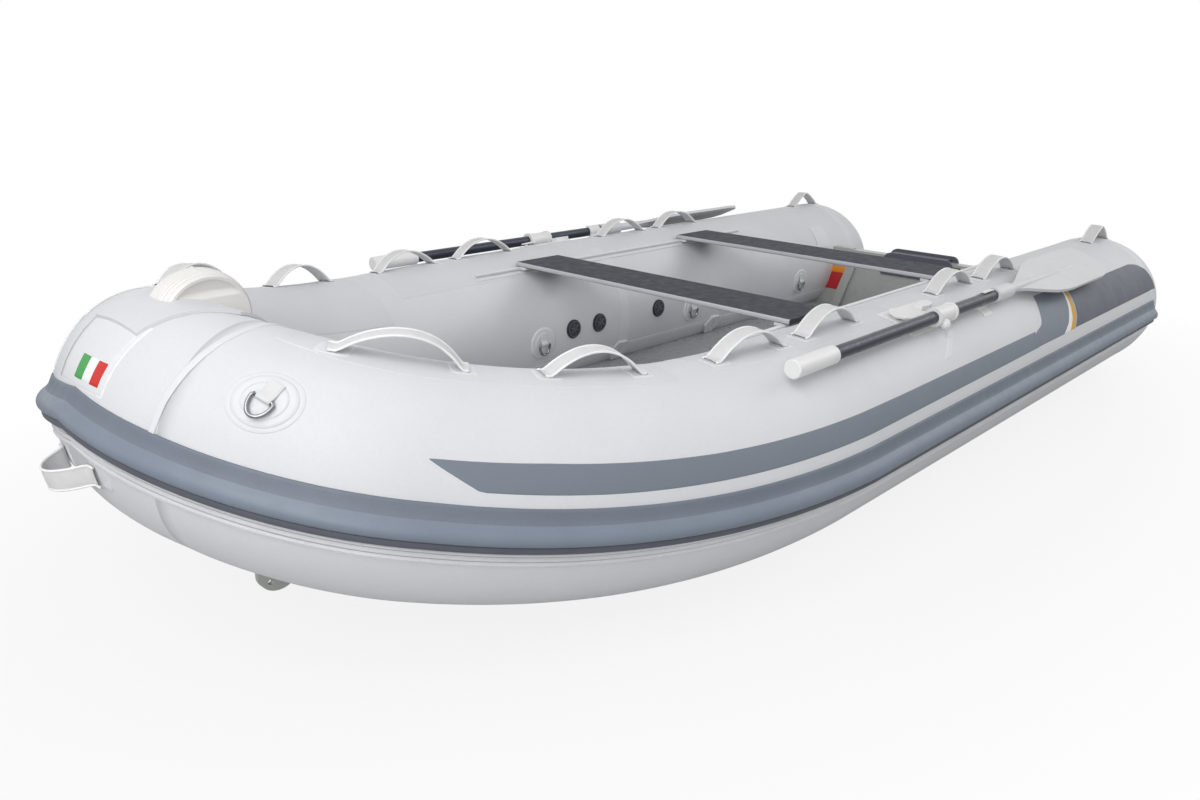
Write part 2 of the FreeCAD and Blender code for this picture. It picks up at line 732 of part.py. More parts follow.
def thwart_board(aft_edge):
    half = RAIL_OFFSET + THWART_OVERHANG
    high = (aft_edge + THWART_WIDTH, half, THWART_UNDERSIDE + THWART_THICKNESS)
    board = box((aft_edge, -half, THWART_UNDERSIDE), high)
    long_edges = [edge for edge in board.Edges if abs(edge.tangentAt(0).y) > 0.9]
    return board.makeFillet(THWART_EDGE_RADIUS, long_edges)


def oar_frame():
    """Centre of the rowlock pin on the oar's axis, the pin's direction and the way outboard."""
    place = straight_station(OAR_PIN_X)
    hub = place.point(OAR_SEAT_ANGLE, OAR_STANDOFF)
    turn = radians(OAR_SWING_ANGLE)
    pin = V(0, cos(turn), sin(turn))
    outboard = V(0, sin(turn), -cos(turn))
    return hub, pin, outboard


def on_oar(x):
    hub, pin, outboard = oar_frame()
    return V(x, hub.y, hub.z)


def oar_shaft():
    start = on_oar(OAR_GRIP_END - OAR_GRIP_LENGTH - SEAT_GAP)
    return rod(start, on_oar(OAR_SHAFT_END), OAR_SHAFT_RADIUS)


def oar_grip():
    grip = rod(on_oar(OAR_GRIP_END), on_oar(OAR_GRIP_END - OAR_GRIP_LENGTH), OAR_GRIP_RADIUS)
    return grip.makeFillet(OAR_EDGE_RADIUS, [edge for edge in grip.Edges if edge.Closed])


def oar_blade():
    """Flat feathered blade with a rib and a neck, held by a sleeve on the shaft."""
    hub, pin, outboard = oar_frame()
    feather = radians(BLADE_FEATHER)
    across = outboard * cos(feather) + pin * sin(feather)
    square = pin * cos(feather) - outboard * sin(feather)
    root = on_oar(OAR_NECK)
    length = OAR_NECK - OAR_TIP
    half = BLADE_WIDTH / 2
    outer = []
    inner = []
    for along, share in BLADE_ROOT_SHARES + BLADE_TIP_SHARES:
        middle = root - V(length * along, 0, 0) - square * (BLADE_THICKNESS / 2)
        outer.append(middle + across * (half * share))
        inner.append(middle - across * (half * share))
    flat = prism(outer + inner[::-1], square * BLADE_THICKNESS)
    rib = Part.makeCone(NECK_RADIUS, BLADE_RIB_END, length * BLADE_RIDGE, root, V(-1, 0, 0))
    sleeve_end = on_oar(OAR_SLEEVE_END)
    floor = on_oar(OAR_SLEEVE_END + OAR_SLEEVE_RECESS)
    sleeve = rod(on_oar(OAR_SLEEVE_START), sleeve_end, OAR_SLEEVE_RADIUS)
    recess = rod(floor, sleeve_end, OAR_SLEEVE_RADIUS - OAR_SLEEVE_LIP)
    neck = rod(floor + V(SEAT_GAP, 0, 0), root, NECK_RADIUS)
    bore = rod(on_oar(0), on_oar(OAR_SHAFT_END - SEAT_GAP), OAR_SHAFT_RADIUS + PIN_CLEARANCE)
    return joined([sleeve.cut(recess).cut(bore), neck, flat, rib])


def oar_collar():
    """Ring round the shaft with a rim at each end, a clamp knob and the rowlock pin below."""
    hub, pin, outboard = oar_frame()
    half = V(COLLAR_LENGTH / 2, 0, 0)
    rim = V(COLLAR_RIM_LENGTH, 0, 0)
    ring = rod(hub + half, hub - half, COLLAR_RADIUS)
    rims = [rod(hub + half, hub + half - rim, COLLAR_RADIUS + COLLAR_RIM)]
    rims.append(rod(hub - half, hub - half + rim, COLLAR_RADIUS + COLLAR_RIM))
    knob_centre = hub + outboard * COLLAR_KNOB_REACH + V(COLLAR_KNOB_SHIFT, 0, 0)
    knob = Part.makeSphere(COLLAR_KNOB_RADIUS, knob_centre)
    pin_end = hub - pin * (OAR_STANDOFF - PAD_THICKNESS)
    shaft = rod(hub - pin * (OAR_SHAFT_RADIUS + SEAT_GAP), pin_end, PIN_RADIUS)
    bore = rod(hub + half * 2, hub - half * 2, OAR_SHAFT_RADIUS + PIN_CLEARANCE)
    return joined([ring, shaft, knob] + rims).cut(bore)


def rowlock_base():
    """Pad glued to the tube with the pin's socket, a capped stand and a catch beside it."""
    hub, pin, outboard = oar_frame()
    outline = pad_outline(ROWLOCK_ANGLE, ROWLOCK_WIDTH, PAD_THICKNESS, PAD_EDGE)
    front = OAR_PIN_X + ROWLOCK_FORE
    pad = straight_run(lambda place: strip_wire(place, outline), front - ROWLOCK_LENGTH, front)
    crown = hub - pin * (COLLAR_RADIUS + COLLAR_RIM + SOCKET_GAP)
    socket = rod(crown, crown - pin * (OAR_STANDOFF - COLLAR_RADIUS), PIN_RADIUS + SOCKET_WALL)
    stand = straight_station(ROWLOCK_CAP_X)
    way = stand.normal(ROWLOCK_CAP_ANGLE)
    top = stand.point(ROWLOCK_CAP_ANGLE, ROWLOCK_CAP_TOP)
    pieces = [pad, socket, rod(top, top - way * ROWLOCK_CAP_THICKNESS, ROWLOCK_CAP_RADIUS)]
    for side in (-1, 1):
        post = V(side * ROWLOCK_POST_SPACING / 2, 0, 0) + top - way
        pieces.append(rod(post, post - way * (ROWLOCK_CAP_TOP + 2), ROWLOCK_POST_RADIUS))
    catch = straight_station(LEVER_X)
    side = catch.round_way(LEVER_ANGLE) * (LEVER_WIDTH / 2)
    reach = V(LEVER_LENGTH / 2, 0, 0)
    foot = catch.point(LEVER_ANGLE, -STRIP_SINK)
    corners = [foot + reach + side * 0.7, foot + side, foot - reach + side * 0.6]
    corners += [foot - reach - side * 0.6, foot - side, foot + reach - side * 0.7]
    pieces.append(prism(corners, catch.normal(LEVER_ANGLE) * (LEVER_TOP + STRIP_SINK)))
    hole = rod(crown + pin, crown - pin * OAR_STANDOFF, PIN_RADIUS + PIN_CLEARANCE)
    return largest(joined(pieces).cut(main_tube(SEAT_GAP)).cut(hole))


def oar_clip():
    """Stowing clip: a pad, a foot and a channel on the inboard side of the shaft."""
    hub, pin, outboard = oar_frame()
    aft = CLIP_X - CLIP_LENGTH / 2
    centre = on_oar(aft)
    length = V(CLIP_LENGTH, 0, 0)
    space = OAR_SHAFT_RADIUS + CLIP_GAP
    outer = space + CLIP_WALL
    outline = pad_outline(OAR_SEAT_ANGLE, CLIP_PAD_WIDTH, PAD_THICKNESS, PAD_EDGE)
    pad = straight_run(lambda place: strip_wire(place, outline), aft, aft + CLIP_LENGTH)
    lip = centre - outboard * CLIP_LIP
    past = [lip - pin * WIDE, lip - pin * WIDE + outboard * WIDE]
    past += [lip + pin * WIDE + outboard * WIDE, lip + pin * WIDE]
    ring = rod(centre, centre + length, outer).cut(rod(centre, centre + length, space))
    channel = ring.cut(prism(past, length))
    half = outboard * (CLIP_FOOT_WIDTH / 2)
    base = centre - pin * (OAR_STANDOFF + STRIP_SINK)
    top = centre - pin * (space + CLIP_WALL / 2)
    foot = prism([base - half, base + half, top + half, top - half], length)
    return joined([pad, foot, channel]).cut(main_tube(SEAT_GAP))


def fairlead_saddle():
    """Base of the bow fairlead, a thick skin over the top of the bow tube."""
    halves = (SADDLE_FRONT_HALF, SADDLE_MIDDLE_HALF, SADDLE_BACK_HALF, SADDLE_END_HALF)
    low = bend_station(90).centre.z
    port = [V(BOW_CENTRE + reach, half, low) for reach, half in zip(SADDLE_REACH, halves)]
    outline = port + [V(point.x, -point.y, low) for point in reversed(port)]
    plan = prism(outline, V(0, 0, WIDE))
    return plan.common(bow_tube(SADDLE_THICKNESS)).cut(bow_tube(SEAT_GAP))


def sheave_centre():
    place = bend_station(90)
    top = place.centre.z + place.half_height
    return V(BOW_CENTRE + SHEAVE_X, 0, top - SHEAVE_CENTRE_BELOW)


def fairlead_sheave():
    """Fixed half-round body with a crowned tread and a groove in each side."""
    centre = sheave_centre()
    half = SHEAVE_TREAD + SHEAVE_RECESS + [(0, SHEAVE_RECESS[-1][1])]
    outline = half + [(reach, -side) for reach, side in reversed(half)]
    face = Part.Face(polygon([centre + V(0, side, reach) for reach, side in outline]))
    wheel = face.revolve(centre, V(0, 1, 0), 360)
    return largest(wheel.cut(bow_tube(SADDLE_THICKNESS + SEAT_GAP)))


def bow_handle():
    """Webbing lifting handle below the ribbed strip on the bow."""
    seat = HANDLE_PATCH_THICKNESS + SEAT_GAP
    return strap(BOW_RUN, BOW_HANDLE_SPAN, BOW_HANDLE_RISE, BOW_HANDLE_ANGLE, seat)


def handle_patch():
    """Glued patch under one end of the bow handle."""
    wires = []
    for turn in (HANDLE_PATCH_NEAR, (HANDLE_PATCH_NEAR + HANDLE_PATCH_FAR) / 2, HANDLE_PATCH_FAR):
        place = bend_station(90 - turn)
        top = RIB_STRIP_FOOT_ANGLE + strake_lift(place) - HANDLE_PATCH_GAP
        ends = (HANDLE_PATCH_FOOT_ANGLE, top)
        wires.append(strip_wire(place, [(angle, HANDLE_PATCH_THICKNESS) for angle in ends]))
    return loft(wires)


def tow_lug():
    """Half-round lug under the forefoot with two holes across it."""
    half = LUG_WIDTH / 2
    top = keel_height(LUG_X - half) + LUG_ROOT
    foot = keel_height(LUG_X - half) - LUG_DROP
    front_top = keel_height(LUG_X + half) + LUG_ROOT
    y = -LUG_THICKNESS / 2
    shoulder = foot + half * LUG_SHOULDER
    bottom = [V(LUG_X - half, y, shoulder), V(LUG_X, y, foot), V(LUG_X + half, y, shoulder)]
    upper = [V(LUG_X + half, y, front_top), V(LUG_X - half, y, top)]
    edges = [arc(*bottom), Part.makeLine(bottom[2], upper[0])]
    edges += [Part.makeLine(upper[0], upper[1]), Part.makeLine(upper[1], bottom[0])]
    plate = Part.Face(Part.Wire(edges)).extrude(V(0, LUG_THICKNESS, 0))
    for side in (-1, 1):
        centre = V(LUG_X + side * LUG_HOLE_SPACING / 2, y, foot + LUG_HOLE_RISE)
        plate = plate.cut(rod(centre, centre + V(0, LUG_THICKNESS, 0), LUG_HOLE_RADIUS))
    return plate


def disc(place, angle, radius, top):
    """A round body square to the tube's skin, from under it up to a height."""
    out = place.normal(angle)
    base = place.point(angle, -PATCH_DEPTH)
    return rod(base, base + out * (PATCH_DEPTH + top), radius)


def valve(run):
    place = station(run)
    flange = on_skin(disc(place, VALVE_ANGLE, VALVE_RADIUS, PATCH_DEPTH), run, VALVE_PROUD / 2)
    out = place.normal(VALVE_ANGLE)
    top = place.point(VALVE_ANGLE, VALVE_PROUD)
    cap = rod(top - out * VALVE_PROUD, top, VALVE_RADIUS * VALVE_CAP_SHARE)
    return joined([flange, cap.cut(near_tube(run, SEAT_GAP))])


def ring_patch(run, angle):
    body = disc(station(run), angle, RING_PATCH_RADIUS, PATCH_DEPTH)
    return on_skin(body, run, RING_PATCH_THICKNESS)


def ring_on_patch(run, angle):
    """Steel ring that hangs from the keeper in the middle of a patch."""
    place = station(run)
    out = place.normal(angle)
    down = place.round_way(angle)
    if down.z > 0:
        down = down * -1
    centre = place.point(angle, RING_PATCH_THICKNESS + RING_KEEPER_RADIUS + SEAT_GAP)
    half = place.along * (RING_KEEPER_LENGTH / 2)
    keeper = rod(centre - half, centre + half, RING_KEEPER_RADIUS)
    ring = Part.makeTorus(RING_RADIUS, RING_WIRE, centre + down * RING_RADIUS + out * RING_LIFT, out)
    return joined([keeper, ring])


def lashing_pad(run):
    """Hexagonal moulded pad with a slot in its middle."""
    place = station(run)
    out = place.normal(LASHING_ANGLE)
    base = place.point(LASHING_ANGLE, -PATCH_DEPTH)
    side = place.round_way(LASHING_ANGLE)
    corners = []
    for turn in range(6):
        angle = radians(60 * turn)
        way = place.along * cos(angle) + side * sin(angle)
        corners.append(base + way * LASHING_RADIUS)
    pad = prism(corners, out * (PATCH_DEPTH + LASHING_HEIGHT)).cut(near_tube(run, SEAT_GAP))
    floor = place.point(LASHING_ANGLE, LASHING_FLOOR)
    x = place.along * (LASHING_SLOT[0] / 2)
    y = side * (LASHING_SLOT[1] / 2)
    return pad.cut(prism([floor - x - y, floor + x - y, floor + x + y, floor - x + y], out * PATCH_DEPTH))


def stern_patch():
    """Glued patch where the transom meets the tube."""
    half = STERN_PATCH_SPAN / 2
    ends = (STERN_PATCH_ANGLE - half, STERN_PATCH_ANGLE + half)
    outline = [(angle, STERN_PATCH_THICKNESS) for angle in ends]
    front = STERN_PATCH_X + STERN_PATCH_LENGTH
    patch = straight_run(lambda place: strip_wire(place, outline), STERN_PATCH_X, front)
    return patch.cut(main_tube(SEAT_GAP))


def cone_cap():
    """Moulded cap on the tip of a stern cone."""
    drop = CONE_DROP * CONE_CAP_SHARE ** 2
    centre = V(CONE_START - CONE_LENGTH * CONE_CAP_SHARE, TUBE_HALF_SPACING, TUBE_CENTRE_HEIGHT - drop)
    return rod(centre, centre - V(CONE_LENGTH * (1 - CONE_CAP_SHARE), 0, 0), CONE_CAP_RADIUS)


def label_plate(tube):
    """Blank plate on the transom's forward face, beside the starboard knee."""
    corners = [(LABEL_FOOT, LABEL_FOOT_SIDES[0]), (LABEL_TOP, LABEL_TOP_SIDES[0])]
    corners += [(LABEL_TOP, LABEL_TOP_SIDES[1]), (LABEL_FOOT, LABEL_FOOT_SIDES[1])]
    points = [V(transom_x(z) + SEAT_GAP, side, z) for z, side in corners]
    return prism(points, V(LABEL_THICKNESS, 0, 0)).cut(tube)


def transom_plate(tube):
    """Flat plate on the transom's top edge."""
    x = TRANSOM_FACE_AT_TOP - TRANSOM_THICKNESS + TOP_PLATE_INSET
    low = (x, TOP_PLATE_START - TOP_PLATE_LENGTH, TRANSOM_TOP + SEAT_GAP)
    high = (x + TOP_PLATE_WIDTH, TOP_PLATE_START, TRANSOM_TOP + SEAT_GAP + TOP_PLATE_THICKNESS)
    return box(low, high).cut(tube)


def export_oar(side, turned):
    export("oar_shaft_" + side, turned(oar_shaft()))
    export("oar_grip_" + side, turned(oar_grip()))
    export("oar_blade_" + side, turned(oar_blade()))
    export("oar_collar_" + side, turned(oar_collar()))
    export("rowlock_base_" + side, turned(rowlock_base()))
    export("oar_clip_" + side, turned(oar_clip()))


def export_tube(side, turned):
    export("tube_cone_" + side, turned(cone_tube()))
    export("tube_main_" + side, turned(main_tube()))
    export("tube_shoulder_" + side, turned(shoulder_tube()))
    export("tube_fore_" + side, turned(fore_tube()))


def export_side(side, turned, tube):
    export_tube(side, turned)
    export("strake_" + side, turned(side_strips(strake_outline(), tube)))
    export("rib_strip_" + side, turned(side_strips(rib_outline(), tube)))
    straps = Part.makeCompound([strap(middle).cut(tube) for middle in STRAP_MIDDLES])
    export("straps_" + side, turned(straps))
    export("rail_" + side, turned(rail().cut(tube)))
    export("valves_" + side, turned(Part.makeCompound([valve(run) for run in VALVE_PLACES])))
    export_oar(side, turned)


def export_thwart(name, aft_edge):
    export("thwart_" + name, thwart_board(aft_edge))
    export("thwart_" + name + "_runners", both(runner(aft_edge)))


def export_all():
    os.makedirs("parts", exist_ok=True)
    export("tube_bow", bow_tube())
    lengths = [cone_tube(SEAT_GAP), main_tube(SEAT_GAP), shoulder_tube(SEAT_GAP), fore_tube(SEAT_GAP)]
    grown_port = joined(lengths)
    bow_skin = bow_tube(SEAT_GAP)
    grown = grown_port.fuse([mirrored(grown_port), bow_skin])
    hull = hull_shape(grown)
    export("hull", hull)
    export("deck", deck_shape(grown))
    export("transom", transom_shape(grown))
    export("motor_pad", motor_pad())
    export("transom_knees", both(knee()))
    export("strake_bow", bow_run(lifted(strake_outline())).cut(bow_skin))
    export("rib_strip_bow", bow_run(lifted(rib_outline())).cut(bow_skin))
    export("bow_handle", bow_handle().cut(bow_tube(HANDLE_PATCH_THICKNESS + SEAT_GAP)))
    export("bow_handle_patches", both(handle_patch().cut(bow_skin)))
    export_side("port", lambda shape: shape, grown_port)
    export_side("starboard", mirrored, grown_port)
    export_thwart("front", THWART_FRONT_AFT_EDGE)
    export_thwart("rear", THWART_REAR_AFT_EDGE)
    export("fairlead_saddle", fairlead_saddle())
    export("fairlead_sheave", fairlead_sheave())
    export("tow_lug", tow_lug().cut(hull))
    patches = [ring_patch(run, angle) for run, angle in RING_PLACES]
    export("ring_patches", both(Part.makeCompound(patches)))
    rings = [ring_on_patch(run, angle) for run, angle in RING_PLACES]
    export("d_rings", both(Part.makeCompound(rings)))
    pads = [lashing_pad(run) for run in LASHING_PLACES]
    export("lashing_pads", both(Part.makeCompound(pads)))
    export("stern_patches", both(stern_patch()))
    export("cone_caps", both(cone_cap()))
    export("label_plate", label_plate(mirrored(grown_port)))
    export("transom_plate", transom_plate(mirrored(grown_port)))


export_all()
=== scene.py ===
from math import ceil, cos, degrees, exp, pi, radians, sin, sqrt

import bpy
from mathutils import Matrix, Vector


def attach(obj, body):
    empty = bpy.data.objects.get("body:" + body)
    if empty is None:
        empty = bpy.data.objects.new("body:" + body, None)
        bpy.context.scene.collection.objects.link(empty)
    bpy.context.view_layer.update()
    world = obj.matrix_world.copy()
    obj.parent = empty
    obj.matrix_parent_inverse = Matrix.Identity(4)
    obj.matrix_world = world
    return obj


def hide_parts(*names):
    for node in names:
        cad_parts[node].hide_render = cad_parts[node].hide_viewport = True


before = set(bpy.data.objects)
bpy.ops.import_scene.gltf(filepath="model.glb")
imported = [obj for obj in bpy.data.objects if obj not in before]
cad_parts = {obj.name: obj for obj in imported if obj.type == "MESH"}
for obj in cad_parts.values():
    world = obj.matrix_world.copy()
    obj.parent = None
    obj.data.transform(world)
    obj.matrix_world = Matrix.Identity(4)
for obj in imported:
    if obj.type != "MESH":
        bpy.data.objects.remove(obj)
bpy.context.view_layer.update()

# Buoyancy tube, in metres
TUBE_RADIUS = 0.2224
BOW_HALF_WIDTH = 0.1828
BOW_HALF_HEIGHT = 0.209
HALF_SPACING = 0.5823
CENTRE_HEIGHT = 0.275
BEND_START = 0.5117
SIDE_ARC_RADIUS = 1.7761
SIDE_ARC_TURN = radians(28.25)
SHEER_RISE = 0.1632
SHEER_POWER = 2.85
SEAM_TURN = radians(69.3)
SEAM_PINCH = 0.0012
SEAM_PINCH_REACH = 0.03
CONE_START = -1.446
CONE_LENGTH = 0.3538
CONE_DROP = 0.08
CONE_FULLNESS = 1.16
CONE_TIP_SHARE = 0.988
CONE_SHARES = [CONE_TIP_SHARE, 0.975, 0.95, 0.92, 0.88, 0.84, 0.79, 0.73, 0.67]
CONE_SHARES += [0.6, 0.53, 0.45, 0.37, 0.29, 0.21, 0.13, 0.06]
TUBE_SIDES = 96

SIDE_END_OFFSET = HALF_SPACING - SIDE_ARC_RADIUS * (1 - cos(SIDE_ARC_TURN))
BOW_ARC_RADIUS = SIDE_END_OFFSET / cos(SIDE_ARC_TURN)
SIDE_ARC_RUN = SIDE_ARC_RADIUS * SIDE_ARC_TURN
SIDE_ARC_END = BEND_START + SIDE_ARC_RADIUS * sin(SIDE_ARC_TURN)
BOW_CENTRE = SIDE_ARC_END + BOW_ARC_RADIUS * (1 - sin(SIDE_ARC_TURN))
SEAM_RUN = SIDE_ARC_RUN + BOW_ARC_RADIUS * (SEAM_TURN - SIDE_ARC_TURN)
BOW_RUN = SIDE_ARC_RUN + BOW_ARC_RADIUS * (pi / 2 - SIDE_ARC_TURN)
CONE_RUN = CONE_START - BEND_START

# Strake and ribbed strip, as angles round the tube amidships
STRAKE_TOP = 9.0
STRAKE_FOOT = -11.0
STRAKE_LIFT = 16.0
STRAKE_LIFT_POWER = 1.8
STRAKE_END_RUN = CONE_RUN - 0.03
STRAKE_END_REACH = 0.03
RIB_TOP = STRAKE_FOOT - 0.45
RIB_PITCH = 2.65
RIB_FOOT = -20.5

# Straps: distance along the tube from the start of the bend
STRAP_RUNS = [0.9268, 0.5623, 0.1633, -0.1297, -0.7497, -1.0447, -1.9117]
STRAP_SPAN = 0.196
STRAP_RISE = 0.046
STRAP_WIDTH = 0.04
STRAP_ANGLE = 87.0
STRAP_TAB = 0.014
STERN_STRAP_SPAN = 0.78 * STRAP_SPAN
STERN_STRAP_RISE = 1.05 * STRAP_RISE
PIPING_RADIUS = 0.0023
WELT_HALF_LENGTH = 0.026
WELT_MARGIN = 0.009
HANDLE_ANGLE = -12.5
HANDLE_SPAN = 0.077
HANDLE_RISE = 0.05
HANDLE_SEAT = 0.0028
HANDLE_PATCH_TURN = 7.35
HANDLE_PATCH_ANGLE = HANDLE_ANGLE + 3.0
HANDLE_PATCH = (0.03, 0.034)

RING_PLACES = [(1.0713, 45.0), (-0.1637, 184.0), (-0.8787, 186.0), (-1.5667, 187.0)]
RING_PATCHES = [(0.05, 0.0024), (0.036, 0.003)]
BOW_RING_PATCH = (0.058, 0.0011)
BOW_RING_TURN = radians(16)
RING_HEIGHT = 0.0075
RING_RADIUS = 0.02
RING_STRETCH = 1.45
RING_WIRE = 0.0032
KEEPER_HALF = 0.0135

VALVE_RUNS = [-0.2897, -0.4037, -0.6897]
VALVE_ANGLE = 178.0
VALVE_HEIGHT = 0.0058
VALVE_RIM = 0.0232
RIDGE_REACHES = (-0.0185, -0.006, 0.006, 0.0185)
RIDGE_TURNS = (20.0, 80.0, 140.0)
RIDGE_WIRE = 0.0024
RIM_WIRE = 0.0016
RIM_DROP = 0.0008

SIDES = ("port", "starboard")


class Place:
    """A place on the tube's centre line, counted forward from the start of the bend.

    Past the bow centre the line goes on down the starboard side.
    """

    def __init__(self, run):
        self.side = 1.0
        if run > BOW_RUN:
            run = 2 * BOW_RUN - run
            self.side = -1.0
        self.heading = 0.0
        self.curve = 0.0
        self.half_width = TUBE_RADIUS
        self.half_height = TUBE_RADIUS
        self.along = Vector((1, 0, 0))
        self.out = Vector((0, 1, 0))
        self.centre = Vector((BEND_START + run, HALF_SPACING, CENTRE_HEIGHT))
        if run < CONE_RUN:
            self.set_cone(run)
        elif run > 0:
            self.set_bend(run)
        self.up = self.along.cross(self.out)
        if self.side < 0:
            for way in (self.centre, self.along, self.out, self.up):
                way.y = -way.y

    def set_cone(self, run):
        share = min((CONE_RUN - run) / CONE_LENGTH, CONE_TIP_SHARE)
        radius = TUBE_RADIUS * sqrt(1 - share * share) ** CONE_FULLNESS
        self.centre.x = CONE_START - CONE_LENGTH * share
        self.centre.z = CENTRE_HEIGHT - CONE_DROP * share * share
        self.half_width = radius
        self.half_height = radius

    def set_bend(self, run):
        if run <= SIDE_ARC_RUN:
            turn = run / SIDE_ARC_RADIUS
            self.curve = 1 / SIDE_ARC_RADIUS
            x = BEND_START + SIDE_ARC_RADIUS * sin(turn)
            y = HALF_SPACING - SIDE_ARC_RADIUS * (1 - cos(turn))
        else:
            turn = SIDE_ARC_TURN + (run - SIDE_ARC_RUN) / BOW_ARC_RADIUS
            self.curve = 1 / BOW_ARC_RADIUS
            x = SIDE_ARC_END + BOW_ARC_RADIUS * (sin(turn) - sin(SIDE_ARC_TURN))
            y = BOW_ARC_RADIUS * cos(turn)
        reach = BOW_CENTRE - BEND_START
        share = (x - BEND_START) / reach
        rise = SHEER_RISE * share ** SHEER_POWER
        slope = SHEER_RISE * SHEER_POWER * share ** (SHEER_POWER - 1) / reach * cos(turn)
        self.heading = degrees(turn)
        self.along = Vector((cos(turn), -sin(turn), slope)).normalized()
        self.out = Vector((sin(turn), cos(turn), 0))
        self.centre = Vector((x, y, CENTRE_HEIGHT + rise))
        self.half_width = TUBE_RADIUS + (BOW_HALF_WIDTH - TUBE_RADIUS) * share
        self.half_height = TUBE_RADIUS + (BOW_HALF_HEIGHT - TUBE_RADIUS) * share

    def point(self, angle, proud=0.0):
        across = self.out * ((self.half_width + proud) * cos(radians(angle)))
        lift = self.up * ((self.half_height + proud) * sin(radians(angle)))
        return self.centre + across + lift

    def normal(self, angle):
        across = self.out * (cos(radians(angle)) / self.half_width)
        return (across + self.up * (sin(radians(angle)) / self.half_height)).normalized()

    def lift(self):
        """Angle by which the strake has climbed round the tube here."""
        return STRAKE_LIFT * (self.heading / 90) ** STRAKE_LIFT_POWER


def mirrored_run(run):
    return 2 * BOW_RUN - run


def both_sides(run):
    return [run, mirrored_run(run)]


def spaced(first, last, step):
    count = max(int(ceil(abs(last - first) / step)), 1)
    return [first + (last - first) * index / count for index in range(count + 1)]


def x_run(x):
    """Distance along the tube at which its centre line has this x."""
    if x <= BEND_START:
        return x - BEND_START
    low, high = 0.0, BOW_RUN
    for _ in range(40):
        middle = (low + high) / 2
        if Place(middle).centre.x < x:
            low = middle
        else:
            high = middle
    return low


# Lines on the skin: functions that give an angle for a run, or a run for an angle

def line_through(points):
    """Height of a line of straight runs through (value, height) points."""
    points = sorted(points)

    def height(value):
        if value <= points[0][0]:
            return points[0][1]
        for (x0, y0), (x1, y1) in zip(points[:-1], points[1:]):
            if value <= x1:
                return y0 + (y1 - y0) * (value - x0) / (x1 - x0)
        return points[-1][1]

    return height


def angle_line(points):
    """Angle for a run, through (x, angle) points."""
    return line_through([(x_run(x), angle) for x, angle in points])


def end_line(points):
    """Run for an angle, through (angle, x) points."""
    return line_through([(angle, x_run(x)) for angle, x in points])


def level(angle):
    return lambda run: angle


def strake_edge(angle):
    return lambda run: angle + Place(run).lift()


# Objects and shader nodes

def link_object(name, data):
    thing = bpy.data.objects.new(name, data)
    bpy.context.scene.collection.objects.link(thing)
    return thing


def empty_tree(owner):
    """Node tree of a material or world, without any node."""
    owner.use_nodes = True
    owner.node_tree.nodes.clear()
    return owner.node_tree


def fill(node, *placed, **named):
    """Set inputs, in order or by name with _ for a space, to values or other nodes' sockets."""
    inputs = list(zip(node.inputs, placed))
    inputs += [(node.inputs[name.replace("_", " ")], value) for name, value in named.items()]
    for place, value in inputs:
        if isinstance(value, bpy.types.NodeSocket):
            node.id_data.links.new(value, place)
        else:
            place.default_value = value
    return node


def new_node(tree, kind, *placed, operation=None, **named):
    node = tree.nodes.new("ShaderNode" + kind)
    if operation:
        node.operation = operation
    return fill(node, *placed, **named)


# Meshes

class Net:
    """Grids collected into one mesh; a row holds pairs of a point and its place on the map."""

    def __init__(self):
        self.points = []
        self.faces = []
        self.uvs = []

    def add(self, rows, closed=False, cap=False, flip=False):
        start = len(self.points)
        width = len(rows[0])
        end = start + (len(rows) - 1) * width
        for row in rows:
            for point, uv in reversed(row) if flip else row:
                self.points.append(point)
                self.uvs.append(uv)
        for a in range(start, end, width):
            b = a + width
            for j in range(width if closed else width - 1):
                k = (j + 1) % width
                self.faces.append((a + j, a + k, b + k, b + j))
        if cap:
            self.faces.append(tuple(start + j for j in reversed(range(width))))
            self.faces.append(tuple(end + j for j in range(width)))

    def add_points(self, rows, closed=False, cap=False, flip=False):
        """The same from rows of bare points, for materials that need no map."""
        marked = []
        for i, row in enumerate(rows):
            marked.append([(point, ((i * len(row) + j) * 0.01, 0.0)) for j, point in enumerate(row)])
        self.add(marked, closed, cap, flip)

    def make(self, name, material, nodes=(), body="boat"):
        mesh = bpy.data.meshes.new(name)
        mesh.from_pydata([tuple(point) for point in self.points], [], self.faces)
        layer = mesh.uv_layers.new(name="UVMap")
        for loop in mesh.loops:
            layer.data[loop.index].uv = self.uvs[loop.vertex_index]
        mesh.validate()
        mesh.update()
        for face in mesh.polygons:
            face.use_smooth = True
        mesh.materials.append(material)
        piece = link_object(name, mesh)
        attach(piece, body)
        if nodes:
            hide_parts(*nodes)
        return piece


def ways_along(path):
    """Direction of a path at each of its points."""
    ends = zip(path[:1] + path[:-1], path[1:] + path[-1:])
    return [(after - before).normalized() for before, after in ends]


def rod_rows(path, radius, sides):
    """Rings of points round a path of points."""
    rows = []
    side = None
    for point, way in zip(path, ways_along(path)):
        if side is None:
            side = way.orthogonal().normalized()
        side = (side - way * side.dot(way)).normalized()
        over = way.cross(side)
        row = []
        for k in range(sides):
            turn = 2 * pi * k / sides
            row.append(point + (side * cos(turn) + over * sin(turn)) * radius)
        rows.append(row)
    return rows


# Patches on the skin: their edges are drawn down into it

PATCH_EDGE = 0.0009
EDGE_SHARES = (0.0, 0.4, 1.3)
EDGE_HEIGHTS = [-0.5, 0.45, 0.9]


def edge_profile(count, first, last, edge):
    """Positions from first to last with three close ones at each end, and their heights."""
    way = edge if last > first else -edge
    inner = spaced(first + 3 * way, last - 3 * way, abs(last - first) / count)
    head = [first + way * share for share in EDGE_SHARES]
    tail = [last - way * share for share in reversed(EDGE_SHARES)]
    return head + inner + tail, EDGE_HEIGHTS + [1.0] * len(inner) + EDGE_HEIGHTS[::-1]


